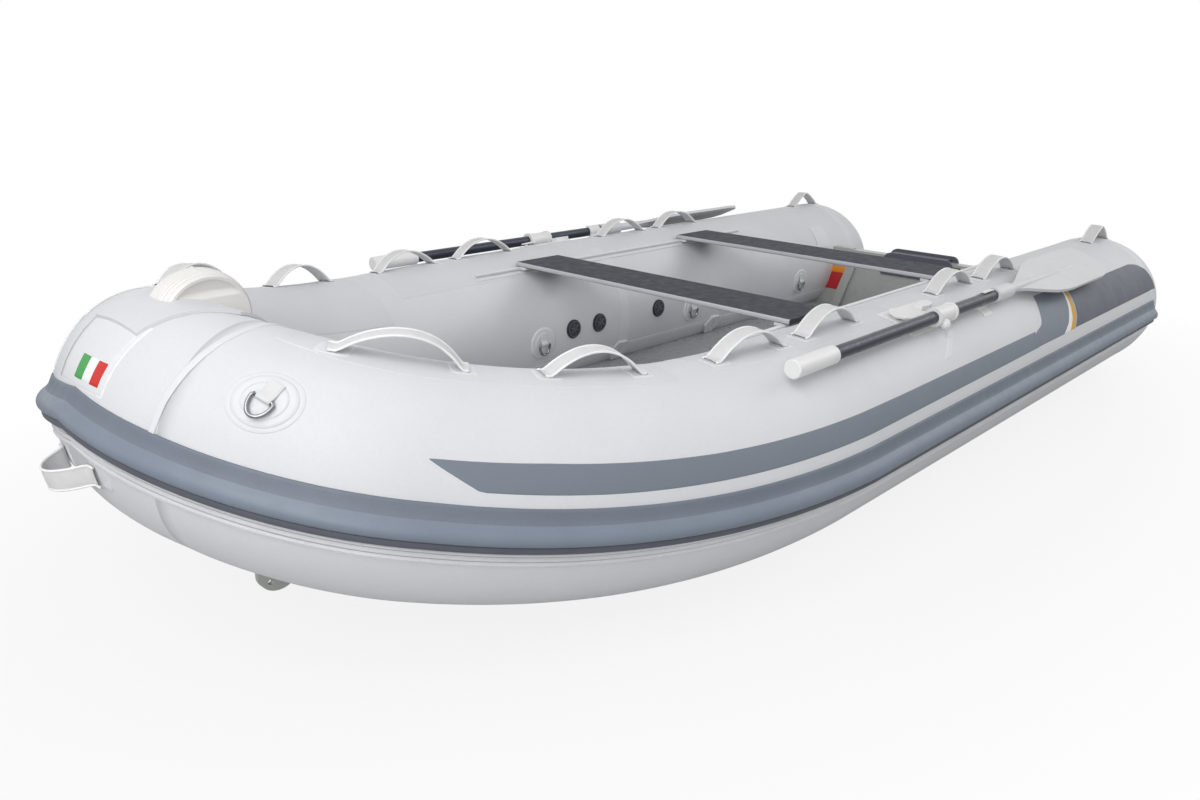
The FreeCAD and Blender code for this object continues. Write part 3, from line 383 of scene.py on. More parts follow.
def resample(values, size):
    """The first and last three values kept, those between spread evenly."""
    inner = values[3:-3]
    count = size - 6
    spread = [inner[0] + (inner[-1] - inner[0]) * index / (count - 1) for index in range(count)]
    return values[:3] + spread + values[-3:]


def skin_band(net, first, last, low, high, proud, step, angle_step=3.0):
    """A patch on the tube's skin between two runs, with its angles given by functions."""
    runs, run_heights = edge_profile(abs(last - first) / step, first, last, PATCH_EDGE)
    rows = []
    middle = (first + last) / 2
    count = max(ceil(abs(high(middle) - low(middle)) / angle_step), 2)
    for run, run_height in zip(runs, run_heights):
        place = Place(run)
        row = []
        span = max(high(run) - low(run), 0.2)
        edge = min(degrees(PATCH_EDGE / place.half_width), span / 10)
        profile = edge_profile(count, low(run), low(run) + span, edge)
        angles, angle_heights = [resample(values, count + 7) for values in profile]
        for angle, angle_height in zip(angles, angle_heights):
            point = place.point(angle, min(run_height, angle_height) * proud)
            row.append((point, (run, radians(angle) * place.half_width)))
        rows.append(row)
    net.add(rows, flip=(Place(middle).side < 0) == (last > first))


def band_between(net, first, last, low, high, proud, step=0.02):
    """A band on the port tube and its mirror image on the starboard tube."""
    skin_band(net, first, last, low, high, proud, step)
    ends = [mirrored_run(last), mirrored_run(first)]
    edges = [lambda run: low(mirrored_run(run)), lambda run: high(mirrored_run(run))]
    skin_band(net, *ends, *edges, proud, step)


def leaning_band(net, low, high, aft, fore, proud, columns=4):
    """A patch between two angles whose ends change with the angle, and its mirror image."""
    edge = degrees(PATCH_EDGE / TUBE_RADIUS)
    angles, angle_heights = edge_profile((high - low) / 1.5, low, high, edge)
    for side in (1, -1):
        lines = []
        for angle, angle_height in zip(angles, angle_heights):
            width = fore(angle) - aft(angle)
            profile = edge_profile(columns, 0.0, width, min(PATCH_EDGE, width / 9))
            places, heights = [resample(values, columns + 7) for values in profile]
            line = []
            for reach, height in zip(places, heights):
                run = aft(angle) + reach
                place = Place(run if side > 0 else mirrored_run(run))
                point = place.point(angle, min(height, angle_height) * proud)
                line.append((point, (run, radians(angle) * TUBE_RADIUS)))
            lines.append(line)
        net.add([list(row) for row in zip(*lines)], flip=side < 0)


def skin_star(net, run, angle, outline, proud, rings=6):
    """A patch whose outline is (forward, round) metres from its middle on the tube's skin."""
    rows = []
    here = Place(run)
    stretch = 1 + here.half_width * cos(radians(angle)) * here.curve
    shares = [0.001] + [index / rings for index in range(1, rings)] + [0.97, 0.985, 1.0]
    heights = [1.0] * rings + [0.95, 0.5, -0.4]
    for share, height in zip(shares, heights):
        row = []
        for forward, round_way in outline:
            place = Place(run + forward * share / stretch * here.side)
            turn = degrees(round_way * share / TUBE_RADIUS)
            point = place.point(angle + turn, height * proud)
            row.append((point, (forward * share, round_way * share)))
        rows.append(row)
    net.add(rows, closed=True, flip=here.side < 0)


def circle_outline(radius, sides=48):
    turns = [2 * pi * k / sides for k in range(sides)]
    return [(radius * cos(turn), -radius * sin(turn)) for turn in turns]


def rounded_box(half_length, half_width, radius, steps=5):
    """Outline of a box with rounded corners and five points along each edge."""
    ways = ((1, -1), (1, 1), (-1, 1), (-1, -1))
    corners = [Vector((half_length * x, half_width * y)) for x, y in ways]
    outline = []
    for index, corner in enumerate(corners):
        following = corners[(index + 1) % 4]
        before = corners[index - 1] - corner
        after = following - corner
        start = corner + before.normalized() * radius
        end = corner + after.normalized() * radius
        for step in range(steps + 1):
            share = step / steps
            bend = corner * (2 * share * (1 - share))
            outline.append(start * (1 - share) ** 2 + bend + end * share ** 2)
        next_start = following - after.normalized() * radius
        outline += [end + (next_start - end) * (step / 6) for step in range(1, 6)]
    return [(point.x, point.y) for point in outline]


# Materials

def srgb(text):
    """Linear colour of a six-digit hexadecimal colour."""
    channels = [int(text[k:k + 2], 16) / 255 for k in (0, 2, 4)]
    linear = [c / 12.92 if c <= 0.04045 else ((c + 0.055) / 1.055) ** 2.4 for c in channels]
    return (linear[0], linear[1], linear[2], 1.0)


class Shader:
    """A material whose colour, roughness and bump come from procedural textures."""

    def __init__(self, name, colour, roughness, metallic=0.0, specular=0.5):
        self.material = bpy.data.materials.new(name)
        self.tree = empty_tree(self.material)
        self.bsdf = self.node("BsdfPrincipled", Metallic=metallic, Specular_IOR_Level=specular)
        self.node("OutputMaterial", self.bsdf.outputs["BSDF"])
        self.coordinates = self.node("TexCoord").outputs
        self.colour = srgb(colour)
        self.roughness = roughness
        self.slope = {}

    def node(self, kind, *placed, **named):
        return new_node(self.tree, kind, *placed, **named)

    def mapped(self, scale):
        return self.node("Mapping", self.coordinates["Object"], Scale=scale).outputs["Vector"]

    def noise(self, scale, detail=3.0, vector=None):
        place = vector or self.coordinates["Object"]
        return self.node("TexNoise", place, Scale=scale, Detail=detail).outputs["Fac"]

    def threads(self, scale, direction):
        """Even waves along one way of the piece's own UV map, which is in metres."""
        texture = self.node("TexWave", self.coordinates["UV"], Scale=scale)
        texture.bands_direction = direction
        return texture.outputs["Fac"]

    def ramp(self, factor, low, high, first, last):
        limits = {"From_Min": first, "From_Max": last, "To_Min": low, "To_Max": high}
        return self.node("MapRange", factor, **limits).outputs["Result"]

    def shade(self, factor, low, high, first=0.3, last=0.7):
        """Multiply the colour by a value between low and high."""
        amount = self.ramp(factor, low, high, first, last)
        grey = self.node("CombineColor", amount, amount, amount).outputs["Color"]
        mix = self.node("Mix")
        mix.data_type = "RGBA"
        mix.blend_type = "MULTIPLY"
        self.colour = fill(mix, Factor=1.0, A=self.colour, B=grey).outputs["Result"]

    def bump(self, factor, height, strength):
        node = self.node("Bump", Strength=strength, Distance=height, Height=factor, **self.slope)
        self.slope = {"Normal": node.outputs["Normal"]}

    def finish(self, factor, spread):
        """Vary the roughness by the spread, join up the sockets and give the material."""
        rough = self.ramp(factor, self.roughness - spread, self.roughness + spread, 0.3, 0.7)
        fill(self.bsdf, Roughness=rough, Base_Color=self.colour, **self.slope)
        return self.material


def coated_fabric(name, colour, roughness=0.5):
    """Coated woven fabric: a fine thread pattern, soft mottling and slight waviness."""
    shader = Shader(name, colour, roughness, specular=0.4)
    shader.shade(shader.noise(5.0, 4.0), 0.975, 1.015)
    shader.shade(shader.noise(160.0, 2.0), 0.985, 1.01)
    shader.bump(shader.threads(330.0, "X"), 0.00008, 0.5)
    shader.bump(shader.threads(330.0, "Y"), 0.00008, 0.5)
    shader.bump(shader.noise(7.0, 1.0), 0.0022, 0.35)
    return shader.finish(shader.noise(22.0), 0.05)


def moulded_rubber(name, colour, roughness=0.55):
    shader = Shader(name, colour, roughness, specular=0.45)
    shader.shade(shader.noise(9.0, 4.0), 0.95, 1.04)
    shader.shade(shader.noise(240.0, 2.0), 0.97, 1.02)
    shader.bump(shader.noise(700.0, 2.0), 0.00015, 0.4)
    shader.bump(shader.noise(14.0, 1.0), 0.0012, 0.4)
    return shader.finish(shader.noise(40.0), 0.07)


def woven_webbing(name, colour):
    shader = Shader(name, colour, 0.55, specular=0.4)
    lengthwise = shader.threads(190.0, "Y")
    crosswise = shader.threads(170.0, "X")
    shader.shade(lengthwise, 0.955, 1.0, 0.0, 0.6)
    shader.shade(crosswise, 0.975, 1.0, 0.0, 0.5)
    shader.shade(shader.noise(60.0), 0.97, 1.02)
    shader.bump(lengthwise, 0.0006, 0.6)
    shader.bump(crosswise, 0.0003, 0.5)
    fill(shader.bsdf, Sheen_Weight=0.15, Sheen_Roughness=0.4)
    return shader.finish(shader.noise(120.0, 2.0), 0.06)


def moulded_plastic(name, colour, roughness=0.4):
    shader = Shader(name, colour, roughness)
    shader.shade(shader.noise(12.0, 4.0), 0.97, 1.02)
    shader.bump(shader.noise(900.0, 2.0), 0.00012, 0.35)
    shader.bump(shader.noise(25.0, 1.0), 0.0007, 0.3)
    return shader.finish(shader.noise(60.0), 0.08)


def hull_gelcoat(name, colour):
    shader = Shader(name, colour, 0.3)
    shader.shade(shader.noise(4.0, 4.0), 0.96, 1.02)
    shader.bump(shader.noise(30.0, 1.0), 0.0002, 0.2)
    fill(shader.bsdf, Coat_Weight=0.25, Coat_Roughness=0.12)
    return shader.finish(shader.noise(18.0, 4.0), 0.09)


def painted_board(name, colour):
    """Painted plank with a lengthwise grain under a fine non-slip sanding."""
    shader = Shader(name, colour, 0.6, specular=0.18)
    grain = shader.noise(30.0, 4.0, shader.mapped((9, 0.7, 9)))
    shader.shade(grain, 0.94, 1.06)
    shader.shade(shader.noise(500.0, 2.0), 0.94, 1.05)
    shader.bump(grain, 0.0006, 0.4)
    shader.bump(shader.noise(1100.0, 2.0), 0.00025, 0.6)
    return shader.finish(shader.noise(35.0), 0.08)


def drawn_tube(name, colour):
    """Anodised tube with faint drawing lines along it."""
    shader = Shader(name, colour, 0.33, metallic=0.25)
    lines = shader.noise(60.0, 3.0, shader.mapped((0.3, 8, 8)))
    shader.shade(lines, 0.9, 1.12)
    shader.bump(lines, 0.0002, 0.3)
    return shader.finish(shader.noise(50.0), 0.08)


def polished_steel(name, colour):
    shader = Shader(name, colour, 0.24, metallic=1.0)
    shader.shade(shader.noise(80.0), 0.9, 1.03)
    shader.bump(shader.noise(300.0, 2.0), 0.0001, 0.3)
    return shader.finish(shader.noise(140.0), 0.08)


TUBE_FABRIC = coated_fabric("TubeFabric", "d6d7da")
SEAM_TAPE = coated_fabric("SeamTape", "dadbde", 0.46)
WEAR_FABRIC = coated_fabric("WearFabric", "d4d5d9", 0.56)
BOW_PANEL_FABRIC = coated_fabric("BowPanelFabric", "dcdde0", 0.44)
EDGE_LINE = coated_fabric("EdgeLine", "ecedef", 0.4)
SHADOW_LINE = coated_fabric("ShadowLine", "a6a8ae")
STRIPE_SLATE = coated_fabric("StripeSlate", "757d88")
# Painted shade: the stripe's slate darkened for the aft stern panel
PANEL_SLATE_PAINTED_SHADE = coated_fabric("PanelSlatePaintedShade", "575c68")
STRIPE_WHITE = coated_fabric("StripeWhite", "eceded", 0.45)
STRIPE_YELLOW = coated_fabric("StripeYellow", "d39c0c", 0.45)
STRIPE_GREEN = coated_fabric("StripeGreen", "3f9a4c", 0.45)
STRIPE_RED = coated_fabric("StripeRed", "c8241c", 0.45)
STRAKE_BAND = moulded_rubber("StrakeBand", "6c7480")
STRAKE_NOSE = moulded_rubber("StrakeNose", "76808e", 0.42)
# The strake's slate rubber, darkened further as painted shade under the nose
STRAKE_FOOT_SHADED_RUBBER = moulded_rubber("StrakeFootPaintedShade", "565a64")
RIB_RUBBER = moulded_rubber("RibRubber", "d6d7da", 0.4)
# Painted shade: darker grey strips laid in the grooves between the ribs
GROOVE_PAINTED_SHADE = moulded_rubber("GroovePaintedShade", "a0a2a8", 0.5)
WEBBING = woven_webbing("Webbing", "e2e2e3")
PIPING = moulded_plastic("Piping", "ececec", 0.38)
GELCOAT = hull_gelcoat("Gelcoat", "a4a7a4")
# Painted light: the hull gelcoat made lighter for the tow lug, which sits in shade under the hull
LUG_GELCOAT_PAINTED_LIGHT = hull_gelcoat("LugGelcoatPaintedLight", "c4c8c4")
DECK_GELCOAT = hull_gelcoat("DeckGelcoat", "a2a4a6")
MOTOR_PAD_PLASTIC = moulded_plastic("MotorPadPlastic", "4a4e58", 0.5)
RAIL_PLASTIC = moulded_plastic("RailPlastic", "dcdcdf")
WHITE_PLASTIC = moulded_plastic("WhitePlastic", "e4e4e4", 0.38)
WARM_PLASTIC = moulded_plastic("WarmPlastic", "dfdedb", 0.36)
VALVE_PLASTIC = moulded_plastic("ValvePlastic", "343840", 0.45)
BLADE_PLASTIC = moulded_plastic("BladePlastic", "d3d4d6")
VALVE_RIDGE = moulded_plastic("ValveRidge", "4d525c")
SADDLE_PLASTIC = moulded_plastic("SaddlePlastic", "d2d3d6")
THWART_BOARD = painted_board("ThwartBoard", "30323c")
THWART_EDGE = moulded_plastic("ThwartEdge", "b9bbc0")
OAR_TUBE = drawn_tube("OarTube", "282d3b")
STEEL = polished_steel("Steel", "8d9095")
LABEL_RED = moulded_plastic("LabelRed", "b5202b", 0.35)
LABEL_ORANGE = moulded_plastic("LabelOrange", "e08a1e", 0.35)
PLATE_GREY = moulded_plastic("PlateGrey", "b4b7b2", 0.3)


# Tubes

def tube_skin(name, runs, nodes, cap=True):
    """One length of the tube, drawn in slightly where the chambers are glued together."""
    rows = []
    for run in runs:
        place = Place(run)
        row = []
        near = min(abs(run - SEAM_RUN), abs(run - mirrored_run(SEAM_RUN)))
        pinch = -SEAM_PINCH * exp(-(near / SEAM_PINCH_REACH) ** 2)
        for k in range(TUBE_SIDES):
            angle = 360.0 * k / TUBE_SIDES
            row.append((place.point(angle, pinch), (run, radians(angle) * place.half_width)))
        rows.append(row)
    net = Net()
    net.add(rows, closed=True, cap=cap, flip=Place(runs[len(runs) // 2]).side < 0)
    net.make(name, TUBE_FABRIC, nodes)


side_runs = [CONE_RUN - CONE_LENGTH * share for share in CONE_SHARES]
side_runs += spaced(CONE_RUN, 0.0, 0.05) + spaced(0.0, SEAM_RUN, 0.022)[1:]
bow_runs = spaced(SEAM_RUN, mirrored_run(SEAM_RUN), 0.016)
far_runs = [mirrored_run(run) for run in side_runs]
port_tubes, starboard_tubes = [
    ["tube_%s_%s" % (length, side) for length in ("cone", "main", "shoulder", "fore")] for side in SIDES
]
tube_skin("tube_skin_port", side_runs, port_tubes)
tube_skin("tube_skin_bow", bow_runs, ["tube_bow"], cap=False)
tube_skin("tube_skin_starboard", far_runs, starboard_tubes)

# Seam tapes round the tube, and a slanted tape end below the rowlock
BOW_TAPE_AFT = [(19.0, 1.1796), (34.0, 1.176), (48.0, 1.169), (65.0, 1.159)]
BOW_TAPE_AFT += [(79.0, 1.15), (92.0, 1.144)]
BOW_TAPE_FORE = [(19.0, 1.1885), (34.0, 1.1855), (48.0, 1.179), (66.0, 1.1685)]
BOW_TAPE_FORE += [(83.0, 1.159), (102.0, 1.156)]
INNER_TAPE_X = -0.013
CONE_TAPE_HALF = 0.022
INNER_TAPE_HALF = 0.02
TAPE_PROUD = 0.0009
tapes = Net()
leaning_band(tapes, 18.0, 200.0, line_through(BOW_TAPE_AFT), line_through(BOW_TAPE_FORE), 0.0011)
cone_tape = [CONE_RUN - CONE_TAPE_HALF, CONE_RUN + CONE_TAPE_HALF]
band_between(tapes, *cone_tape, strake_edge(STRAKE_TOP), level(340.0), TAPE_PROUD, 0.008)
inner_tape = [x_run(INNER_TAPE_X) - INNER_TAPE_HALF, x_run(INNER_TAPE_X) + INNER_TAPE_HALF]
band_between(tapes, *inner_tape, level(110.0), level(300.0), TAPE_PROUD, 0.008)
slant_aft = end_line([(36.0, 0.085), (53.0, -0.012)])
slant_fore = end_line([(36.0, 0.118), (53.0, 0.024)])
leaning_band(tapes, 36.0, 53.0, slant_aft, slant_fore, TAPE_PROUD)
tapes.make("seam_tapes", SEAM_TAPE)

# Long seam tape on the inner side of each tube, and wear patches on its crown
inner_tapes = Net()
band_between(inner_tapes, CONE_RUN + 0.03, SEAM_RUN - 0.03, level(203.0), level(208.5), 0.0008, 0.04)
inner_tapes.make("inner_seam_tapes", SEAM_TAPE)

FRONT_WEAR = [(0.908, 71.0), (1.073, 73.0), (1.243, 73.0), (1.368, 72.0), (1.462, 76.0), (1.519, 84.0)]
REAR_WEAR = [(0.553, 75.0), (0.695, 76.0), (0.81, 77.0), (0.827, 98.0)]
WEAR_PROUD = 0.0007
wear = Net()
band_between(wear, x_run(0.905), x_run(1.519), angle_line(FRONT_WEAR), level(146.0), WEAR_PROUD)
band_between(wear, x_run(0.1), x_run(0.827), angle_line(REAR_WEAR), level(128.0), WEAR_PROUD)
wear.make("wear_patches", WEAR_FABRIC)


# Stripe on the outboard side

STRIPE_END = -0.411
STRIPE_TIP = x_run(1.36)
STRIPE_TOP = [(STRIPE_END, 28.6), (0.35, 28.3), (0.9, 29.2), (1.2, 30.5), (1.36, 29.6)]
STRIPE_LOW = [(STRIPE_END, 17.3), (-0.2, 16.8), (0.5, 15.6), (1.1, 16.0), (1.291, 16.7)]
stripe = Net()
low_points = [(x_run(x), angle) for x, angle in STRIPE_LOW]
low_points += [(STRIPE_TIP - 0.012, 26.5), (STRIPE_TIP, 29.2)]
stripe_ends = [x_run(STRIPE_END), STRIPE_TIP]
band_between(stripe, *stripe_ends, line_through(low_points), angle_line(STRIPE_TOP), 0.0007, 0.012)
stripe.make("side_stripes", STRIPE_SLATE)

# Panels of the stern graphic, with a white, a yellow and a grey line between them: (angle, x)
FORE_PANEL_FORE = [(17.6, -0.412), (28.0, -0.412), (29.2, -0.44), (31.0, -0.464)]
FORE_PANEL_FORE += [(34.0, -0.478), (52.6, -0.526)]
FORE_PANEL_AFT = [(17.9, -0.604), (24.0, -0.652), (34.0, -0.69), (44.0, -0.712), (52.6, -0.722)]
WHITE_END = [(18.0, -0.655), (26.0, -0.69), (36.0, -0.712), (44.0, -0.724), (52.0, -0.727)]
YELLOW_END = [(18.0, -0.684), (26.0, -0.716), (36.0, -0.736), (44.0, -0.745), (52.0, -0.745)]
GREY_END = [(18.0, -0.697), (26.0, -0.728), (36.0, -0.747), (44.0, -0.756), (51.5, -0.757)]
AFT_PANEL_AFT = [(18.6, -1.5), (27.0, -1.49), (38.0, -1.455), (45.0, -1.4), (47.9, -1.33)]
AFT_PANEL_TOP = [(-1.01, 48.0), (-0.849, 47.6), (-0.754, 51.2)]
GRAPHICS = [
    ("stern_panel_fore", STRIPE_SLATE, 17.6, 52.6, FORE_PANEL_AFT, FORE_PANEL_FORE, 0.0008, 16),
    ("stern_line_white", STRIPE_WHITE, 18.0, 52.2, WHITE_END, FORE_PANEL_AFT, 0.0008, 4),
    ("stern_line_yellow", STRIPE_YELLOW, 18.0, 52.0, YELLOW_END, WHITE_END, 0.0009, 4),
    ("stern_line_grey", SHADOW_LINE, 18.0, 51.5, GREY_END, YELLOW_END, 0.0008, 4),
    # The aft panel is the stripe's slate with painted shade
    ("stern_panel_aft", PANEL_SLATE_PAINTED_SHADE, 18.4, 47.7, AFT_PANEL_AFT, GREY_END, 0.001, 60),
]
for name, material, low, high, aft, fore, proud, columns in GRAPHICS:
    net = Net()
    leaning_band(net, low, high, end_line(aft), end_line(fore), proud, columns)
    if aft is AFT_PANEL_AFT:
        ends = [x_run(AFT_PANEL_TOP[0][0]), x_run(AFT_PANEL_TOP[-1][0])]
        band_between(net, *ends, level(47.0), angle_line(AFT_PANEL_TOP), proud, 0.01)
    net.make(name, material)


# Strake and ribbed strip, in one length round the boat

def swept(name, profile, material, nodes):
    """A section of (angle, proud) points swept from one stern end round the bow to the other."""
    first = STRAKE_END_RUN
    inner = first + STRAKE_END_REACH
    runs = [first + STRAKE_END_REACH * (1 - cos(radians(15 * k))) for k in range(7)]
    runs += spaced(inner, 0.0, 0.05)[1:] + spaced(0.0, BOW_RUN, 0.02)[1:]
    runs += [mirrored_run(run) for run in reversed(runs[:-1])]
    rows = []
    middle = (profile[0][0] + profile[-1][0]) / 2
    for run in runs:
        place = Place(run)
        near = min(run, mirrored_run(run))
        share = min((near - first) / STRAKE_END_REACH, 1.0)
        round_off = sqrt(max(1 - (1 - share) ** 2, 0.0))
        row = []
        length = 0.0
        before = profile[0]
        for angle, proud in profile:
            turned = middle + (angle - middle) * (0.25 + 0.75 * round_off)
            point = place.point(turned + place.lift(), -0.001 + (proud + 0.001) * round_off)
            length += abs(angle - before[0]) * radians(TUBE_RADIUS) + abs(proud - before[1])
            before = (angle, proud)
            row.append((point, (run, length)))
        rows.append(row)
    net = Net()
    net.add(rows, flip=True)
    net.make(name, material, nodes)


BAND_PROFILE = [(STRAKE_TOP + 0.1, -0.001), (STRAKE_TOP, 0.0018), (8.7, 0.003), (7.4, 0.0038), (6.0, 0.0046)]
BAND_PROFILE += [(4.6, 0.0057), (3.5, 0.007), (2.7, 0.0085), (2.1, 0.0101)]
NOSE_PROFILE = [(2.1, 0.0101), (1.4, 0.0126), (0.5, 0.016), (-0.6, 0.0198), (-1.8, 0.0228)]
NOSE_PROFILE += [(-3.0, 0.0246), (-4.2, 0.025), (-5.2, 0.0241), (-6.0, 0.0218), (-6.5, 0.019)]
NOSE_PROFILE += [(-6.8, 0.016), (-6.9, 0.012)]
FOOT_PROFILE = [(-6.7, 0.0125), (-7.0, 0.0158), (-7.6, 0.0172), (-8.6, 0.0178), (-9.6, 0.017)]
FOOT_PROFILE += [(-10.4, 0.0142), (-10.9, 0.009), (-11.2, 0.004), (-11.3, -0.001)]
RIB_PROFILE = [(0.0, 0.0014), (0.12, 0.0034), (0.28, 0.0052), (0.45, 0.0058)]
RIB_PROFILE += [(0.62, 0.0052), (0.78, 0.0034), (0.9, 0.0014)]
BEAD_PROFILE = [(0.9, 0.0012), (0.7, 0.0024), (0.45, 0.0028), (0.2, 0.002), (0.0, -0.001)]
GROOVE_SHADE_PROFILE = [(0.42, 0.0006), (0.26, 0.0024), (-0.1, 0.0024), (-0.28, 0.0006)]

strakes = ["strake_port", "strake_starboard", "strake_bow"]
swept("strake_band", BAND_PROFILE, STRAKE_BAND, strakes)
swept("strake_nose", NOSE_PROFILE, STRAKE_NOSE, [])
# Foot flange below the nose, coloured darker as painted shade
swept("strake_foot", FOOT_PROFILE, STRAKE_FOOT_SHADED_RUBBER, [])

# Three rounded ribs with a thin bead along the lower edge, and darker strips of painted shade in the grooves
# between the ribs
ribs = [(RIB_TOP, -0.001), (RIB_TOP - 0.05, 0.0012)]
for rib in range(3):
    ribs += [(RIB_TOP - 0.25 - RIB_PITCH * (rib + share), height) for share, height in RIB_PROFILE]
ribs += [(RIB_FOOT + reach, height) for reach, height in BEAD_PROFILE]
rib_strips = ["rib_strip_port", "rib_strip_starboard", "rib_strip_bow"]
swept("rib_strip", ribs, RIB_RUBBER, rib_strips)
# Painted shade in the two grooves between the ribs
for number in range(2):
    angle = RIB_TOP - 0.11 - RIB_PITCH * (number + 1)
    shade_strip = [(angle + reach, height) for reach, height in GROOVE_SHADE_PROFILE]
    swept("rib_groove_painted_shade_%d" % number, shade_strip, GROOVE_PAINTED_SHADE, [])


# Carrying straps

STRAP_STEPS = 36
CROWN = [(-1.0, 0.0), (-0.86, 0.0006), (-0.5, 0.0011), (0.0, 0.0013)]
CROWN += [(-step, height) for step, height in CROWN[2::-1]]


def strap_path(run, angle, span, rise, seat, peaked):
    """Middle line of an arched strap with a flat tab at each foot."""
    place = Place(run)
    lift = place.normal(angle) * seat
    arch = []
    for index in range(1, STRAP_STEPS):
        u = -1.0 + 2.0 * index / STRAP_STEPS
        here = Place(run + u * span / 2 * place.side)
        height = rise * ((1 - abs(u) ** 1.25) ** 0.9 if peaked else (1 - u * u) ** 0.92)
        arch.append(here.point(angle) + here.normal(angle) * (height + 0.0032) + lift)
    feet = []
    for way in (-1, 1):
        foot = []
        for step in (1.0, 0.55, 0.2):
            here = Place(run + way * (span / 2 + STRAP_TAB * step) * place.side)
            foot.append(here.point(angle, 0.003 + seat))
        feet.append(foot)
    return feet[0] + arch + feet[1][::-1]


def strap_piece(name, run, angle, span, rise, nodes, seat=0.0, peaked=False):
    """Webbing strap with piped edges."""
    place = Place(run)
    path = strap_path(run, angle, span, rise, seat, peaked)
    across = place.along.cross(place.normal(angle)).normalized()
    half = STRAP_WIDTH / 2 - 0.0018
    rows = []
    under_rows = []
    length = 0.0
    for before, point, way in zip(path[:1] + path, path, ways_along(path)):
        up = across.cross(way).normalized()
        if up.dot(place.normal(angle)) < 0:
            up = -up
        length += (point - before).length
        row = []
        under_row = []
        for step, lift in CROWN:
            uv = (length, step * STRAP_WIDTH / 2)
            aside = point + across * (step * half)
            row.append((aside + up * (0.0004 + lift), uv))
            under_row.append((aside - up * 0.0016, uv))
        rows.append(row)
        under_rows.append(under_row)
    net = Net()
    net.add(rows, flip=place.side < 0)
    net.add(under_rows, flip=place.side > 0)
    net.make(name, WEBBING, nodes)
    edges = Net()
    for step in (-1, 1):
        line = [point + across * (step * (STRAP_WIDTH / 2 - 0.0014)) for point in path]
        edges.add_points(rod_rows(line, PIPING_RADIUS, 10), closed=True, cap=True)
    edges.make(name + "_piping", PIPING)


def strap_welts(name, run, span):
    """Thin welded patch under each foot of a strap."""
    patches = Net()
    outline = rounded_box(WELT_HALF_LENGTH, STRAP_WIDTH / 2 + WELT_MARGIN, 0.01)
    for way in (-1, 1):
        centre = run + way * (span / 2 + STRAP_TAB * 0.2) * Place(run).side
        skin_star(patches, centre, STRAP_ANGLE, outline, 0.0014)
    patches.make(name, SEAM_TAPE)


for index, run in enumerate(STRAP_RUNS):
    stern = run == STRAP_RUNS[-1]
    span = STERN_STRAP_SPAN if stern else STRAP_SPAN
    rise = STERN_STRAP_RISE if stern else STRAP_RISE
    for side_name, place_run in zip(SIDES, both_sides(run)):
        name = "%d_%s" % (index, side_name)
        nodes = ["straps_" + side_name] if index == 0 else []
        strap_piece("strap_" + name, place_run, STRAP_ANGLE, span, rise, nodes, peaked=stern)
        strap_welts("strap_welt_" + name, place_run, span)

handle = (BOW_RUN, HANDLE_ANGLE, HANDLE_SPAN, HANDLE_RISE)
strap_piece("bow_handle_webbing", *handle, ["bow_handle"], seat=HANDLE_SEAT)


# Patches, rings and keepers

KEEPER_PROFILE = [(-0.034, 0.0026), (-0.03, 0.0042), (-0.016, 0.0046), (-0.007, 0.0072), (-0.002, 0.0112)]
KEEPER_PROFILE += [(0.002, 0.0114), (0.0045, 0.0084), (0.0045, 0.005), (0.002, 0.003)]
KEEPER_STEPS = [(-1.0, 0.001), (-0.93, 0.0), (-0.5, 0.0), (0.0, 0.0)]
KEEPER_STEPS += [(-step, drop) for step, drop in KEEPER_STEPS[2::-1]]


def ring_set(name, run, angle, at_bow):
    """A ring on its patch, held by a keeper; the bow ring hangs turned towards the bow."""
    place = Place(run)
    patch = Net()
    for radius, proud in ([BOW_RING_PATCH] if at_bow else []) + RING_PATCHES:
        skin_star(patch, run, angle, circle_outline(radius), proud)
    disc = patch.make("ring_patch_" + name, SEAM_TAPE)
    out = place.normal(angle)
    along = place.along
    down = along.cross(out).normalized()
    if down.z > 0:
        down = -down
    if at_bow:
        to_bow = along * place.side
        down = (down * cos(BOW_RING_TURN) + to_bow * sin(BOW_RING_TURN)).normalized()
        along = down.cross(out).normalized()
    # D-shaped ring: a straight bar in the keeper and a round bow below it
    middle = place.point(angle, RING_HEIGHT)
    bar_end = along * RING_RADIUS * 0.8
    bar_lift = down * 0.0005
    points = [middle + bar_end - bar_lift]
    for k in range(25):
        turn = pi * k / 24
        bow = along * (RING_RADIUS * cos(turn)) + down * (RING_RADIUS * RING_STRETCH * sin(turn))
        points.append(middle + down * 0.0035 + bow + out * (0.001 * sin(turn)))
    points += [middle - bar_end - bar_lift, middle - bar_lift]
    ring = Net()
    ring.add_points(rod_rows(points, RING_WIRE, 12), closed=True, cap=True)
    steel = ring.make("d_ring_" + name, STEEL)
    # Folded webbing that holds the bar, with its tail sewn to the patch
    keeper = Net()
    base = place.point(angle)
    rows = []
    for reach, height in KEEPER_PROFILE:
        row = []
        for step, drop in KEEPER_STEPS:
            reach_along = KEEPER_HALF * step
            point = base + along * reach_along + down * reach + out * (height - drop)
            row.append((point, (reach, reach_along)))
        rows.append(row)
    keeper.add(rows, flip=along.cross(down).dot(out) < 0)
    keeper.make("ring_keeper_" + name, WEBBING)
    return disc, steel


for index, (run, angle) in enumerate(RING_PLACES):
    for side_name, place_run in zip(SIDES, both_sides(run)):
        disc, steel = ring_set("%d_%s" % (index, side_name), place_run, angle, index == 0)
        if index == 0 and side_name == "port":
            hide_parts("ring_patches")
            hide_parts("d_rings")

handle_patches = Net()
for turn in (-HANDLE_PATCH_TURN, HANDLE_PATCH_TURN):
    centre = BOW_RUN + BOW_ARC_RADIUS * radians(turn)
    skin_star(handle_patches, centre, HANDLE_PATCH_ANGLE, rounded_box(*HANDLE_PATCH, 0.008), 0.0024)
handle_patches.make("bow_handle_feet", SEAM_TAPE, ["bow_handle_patches"])


# Finishes of the parts that keep their construction shape

def pair(*names):
    return [name + "_" + side for name in names for side in SIDES]


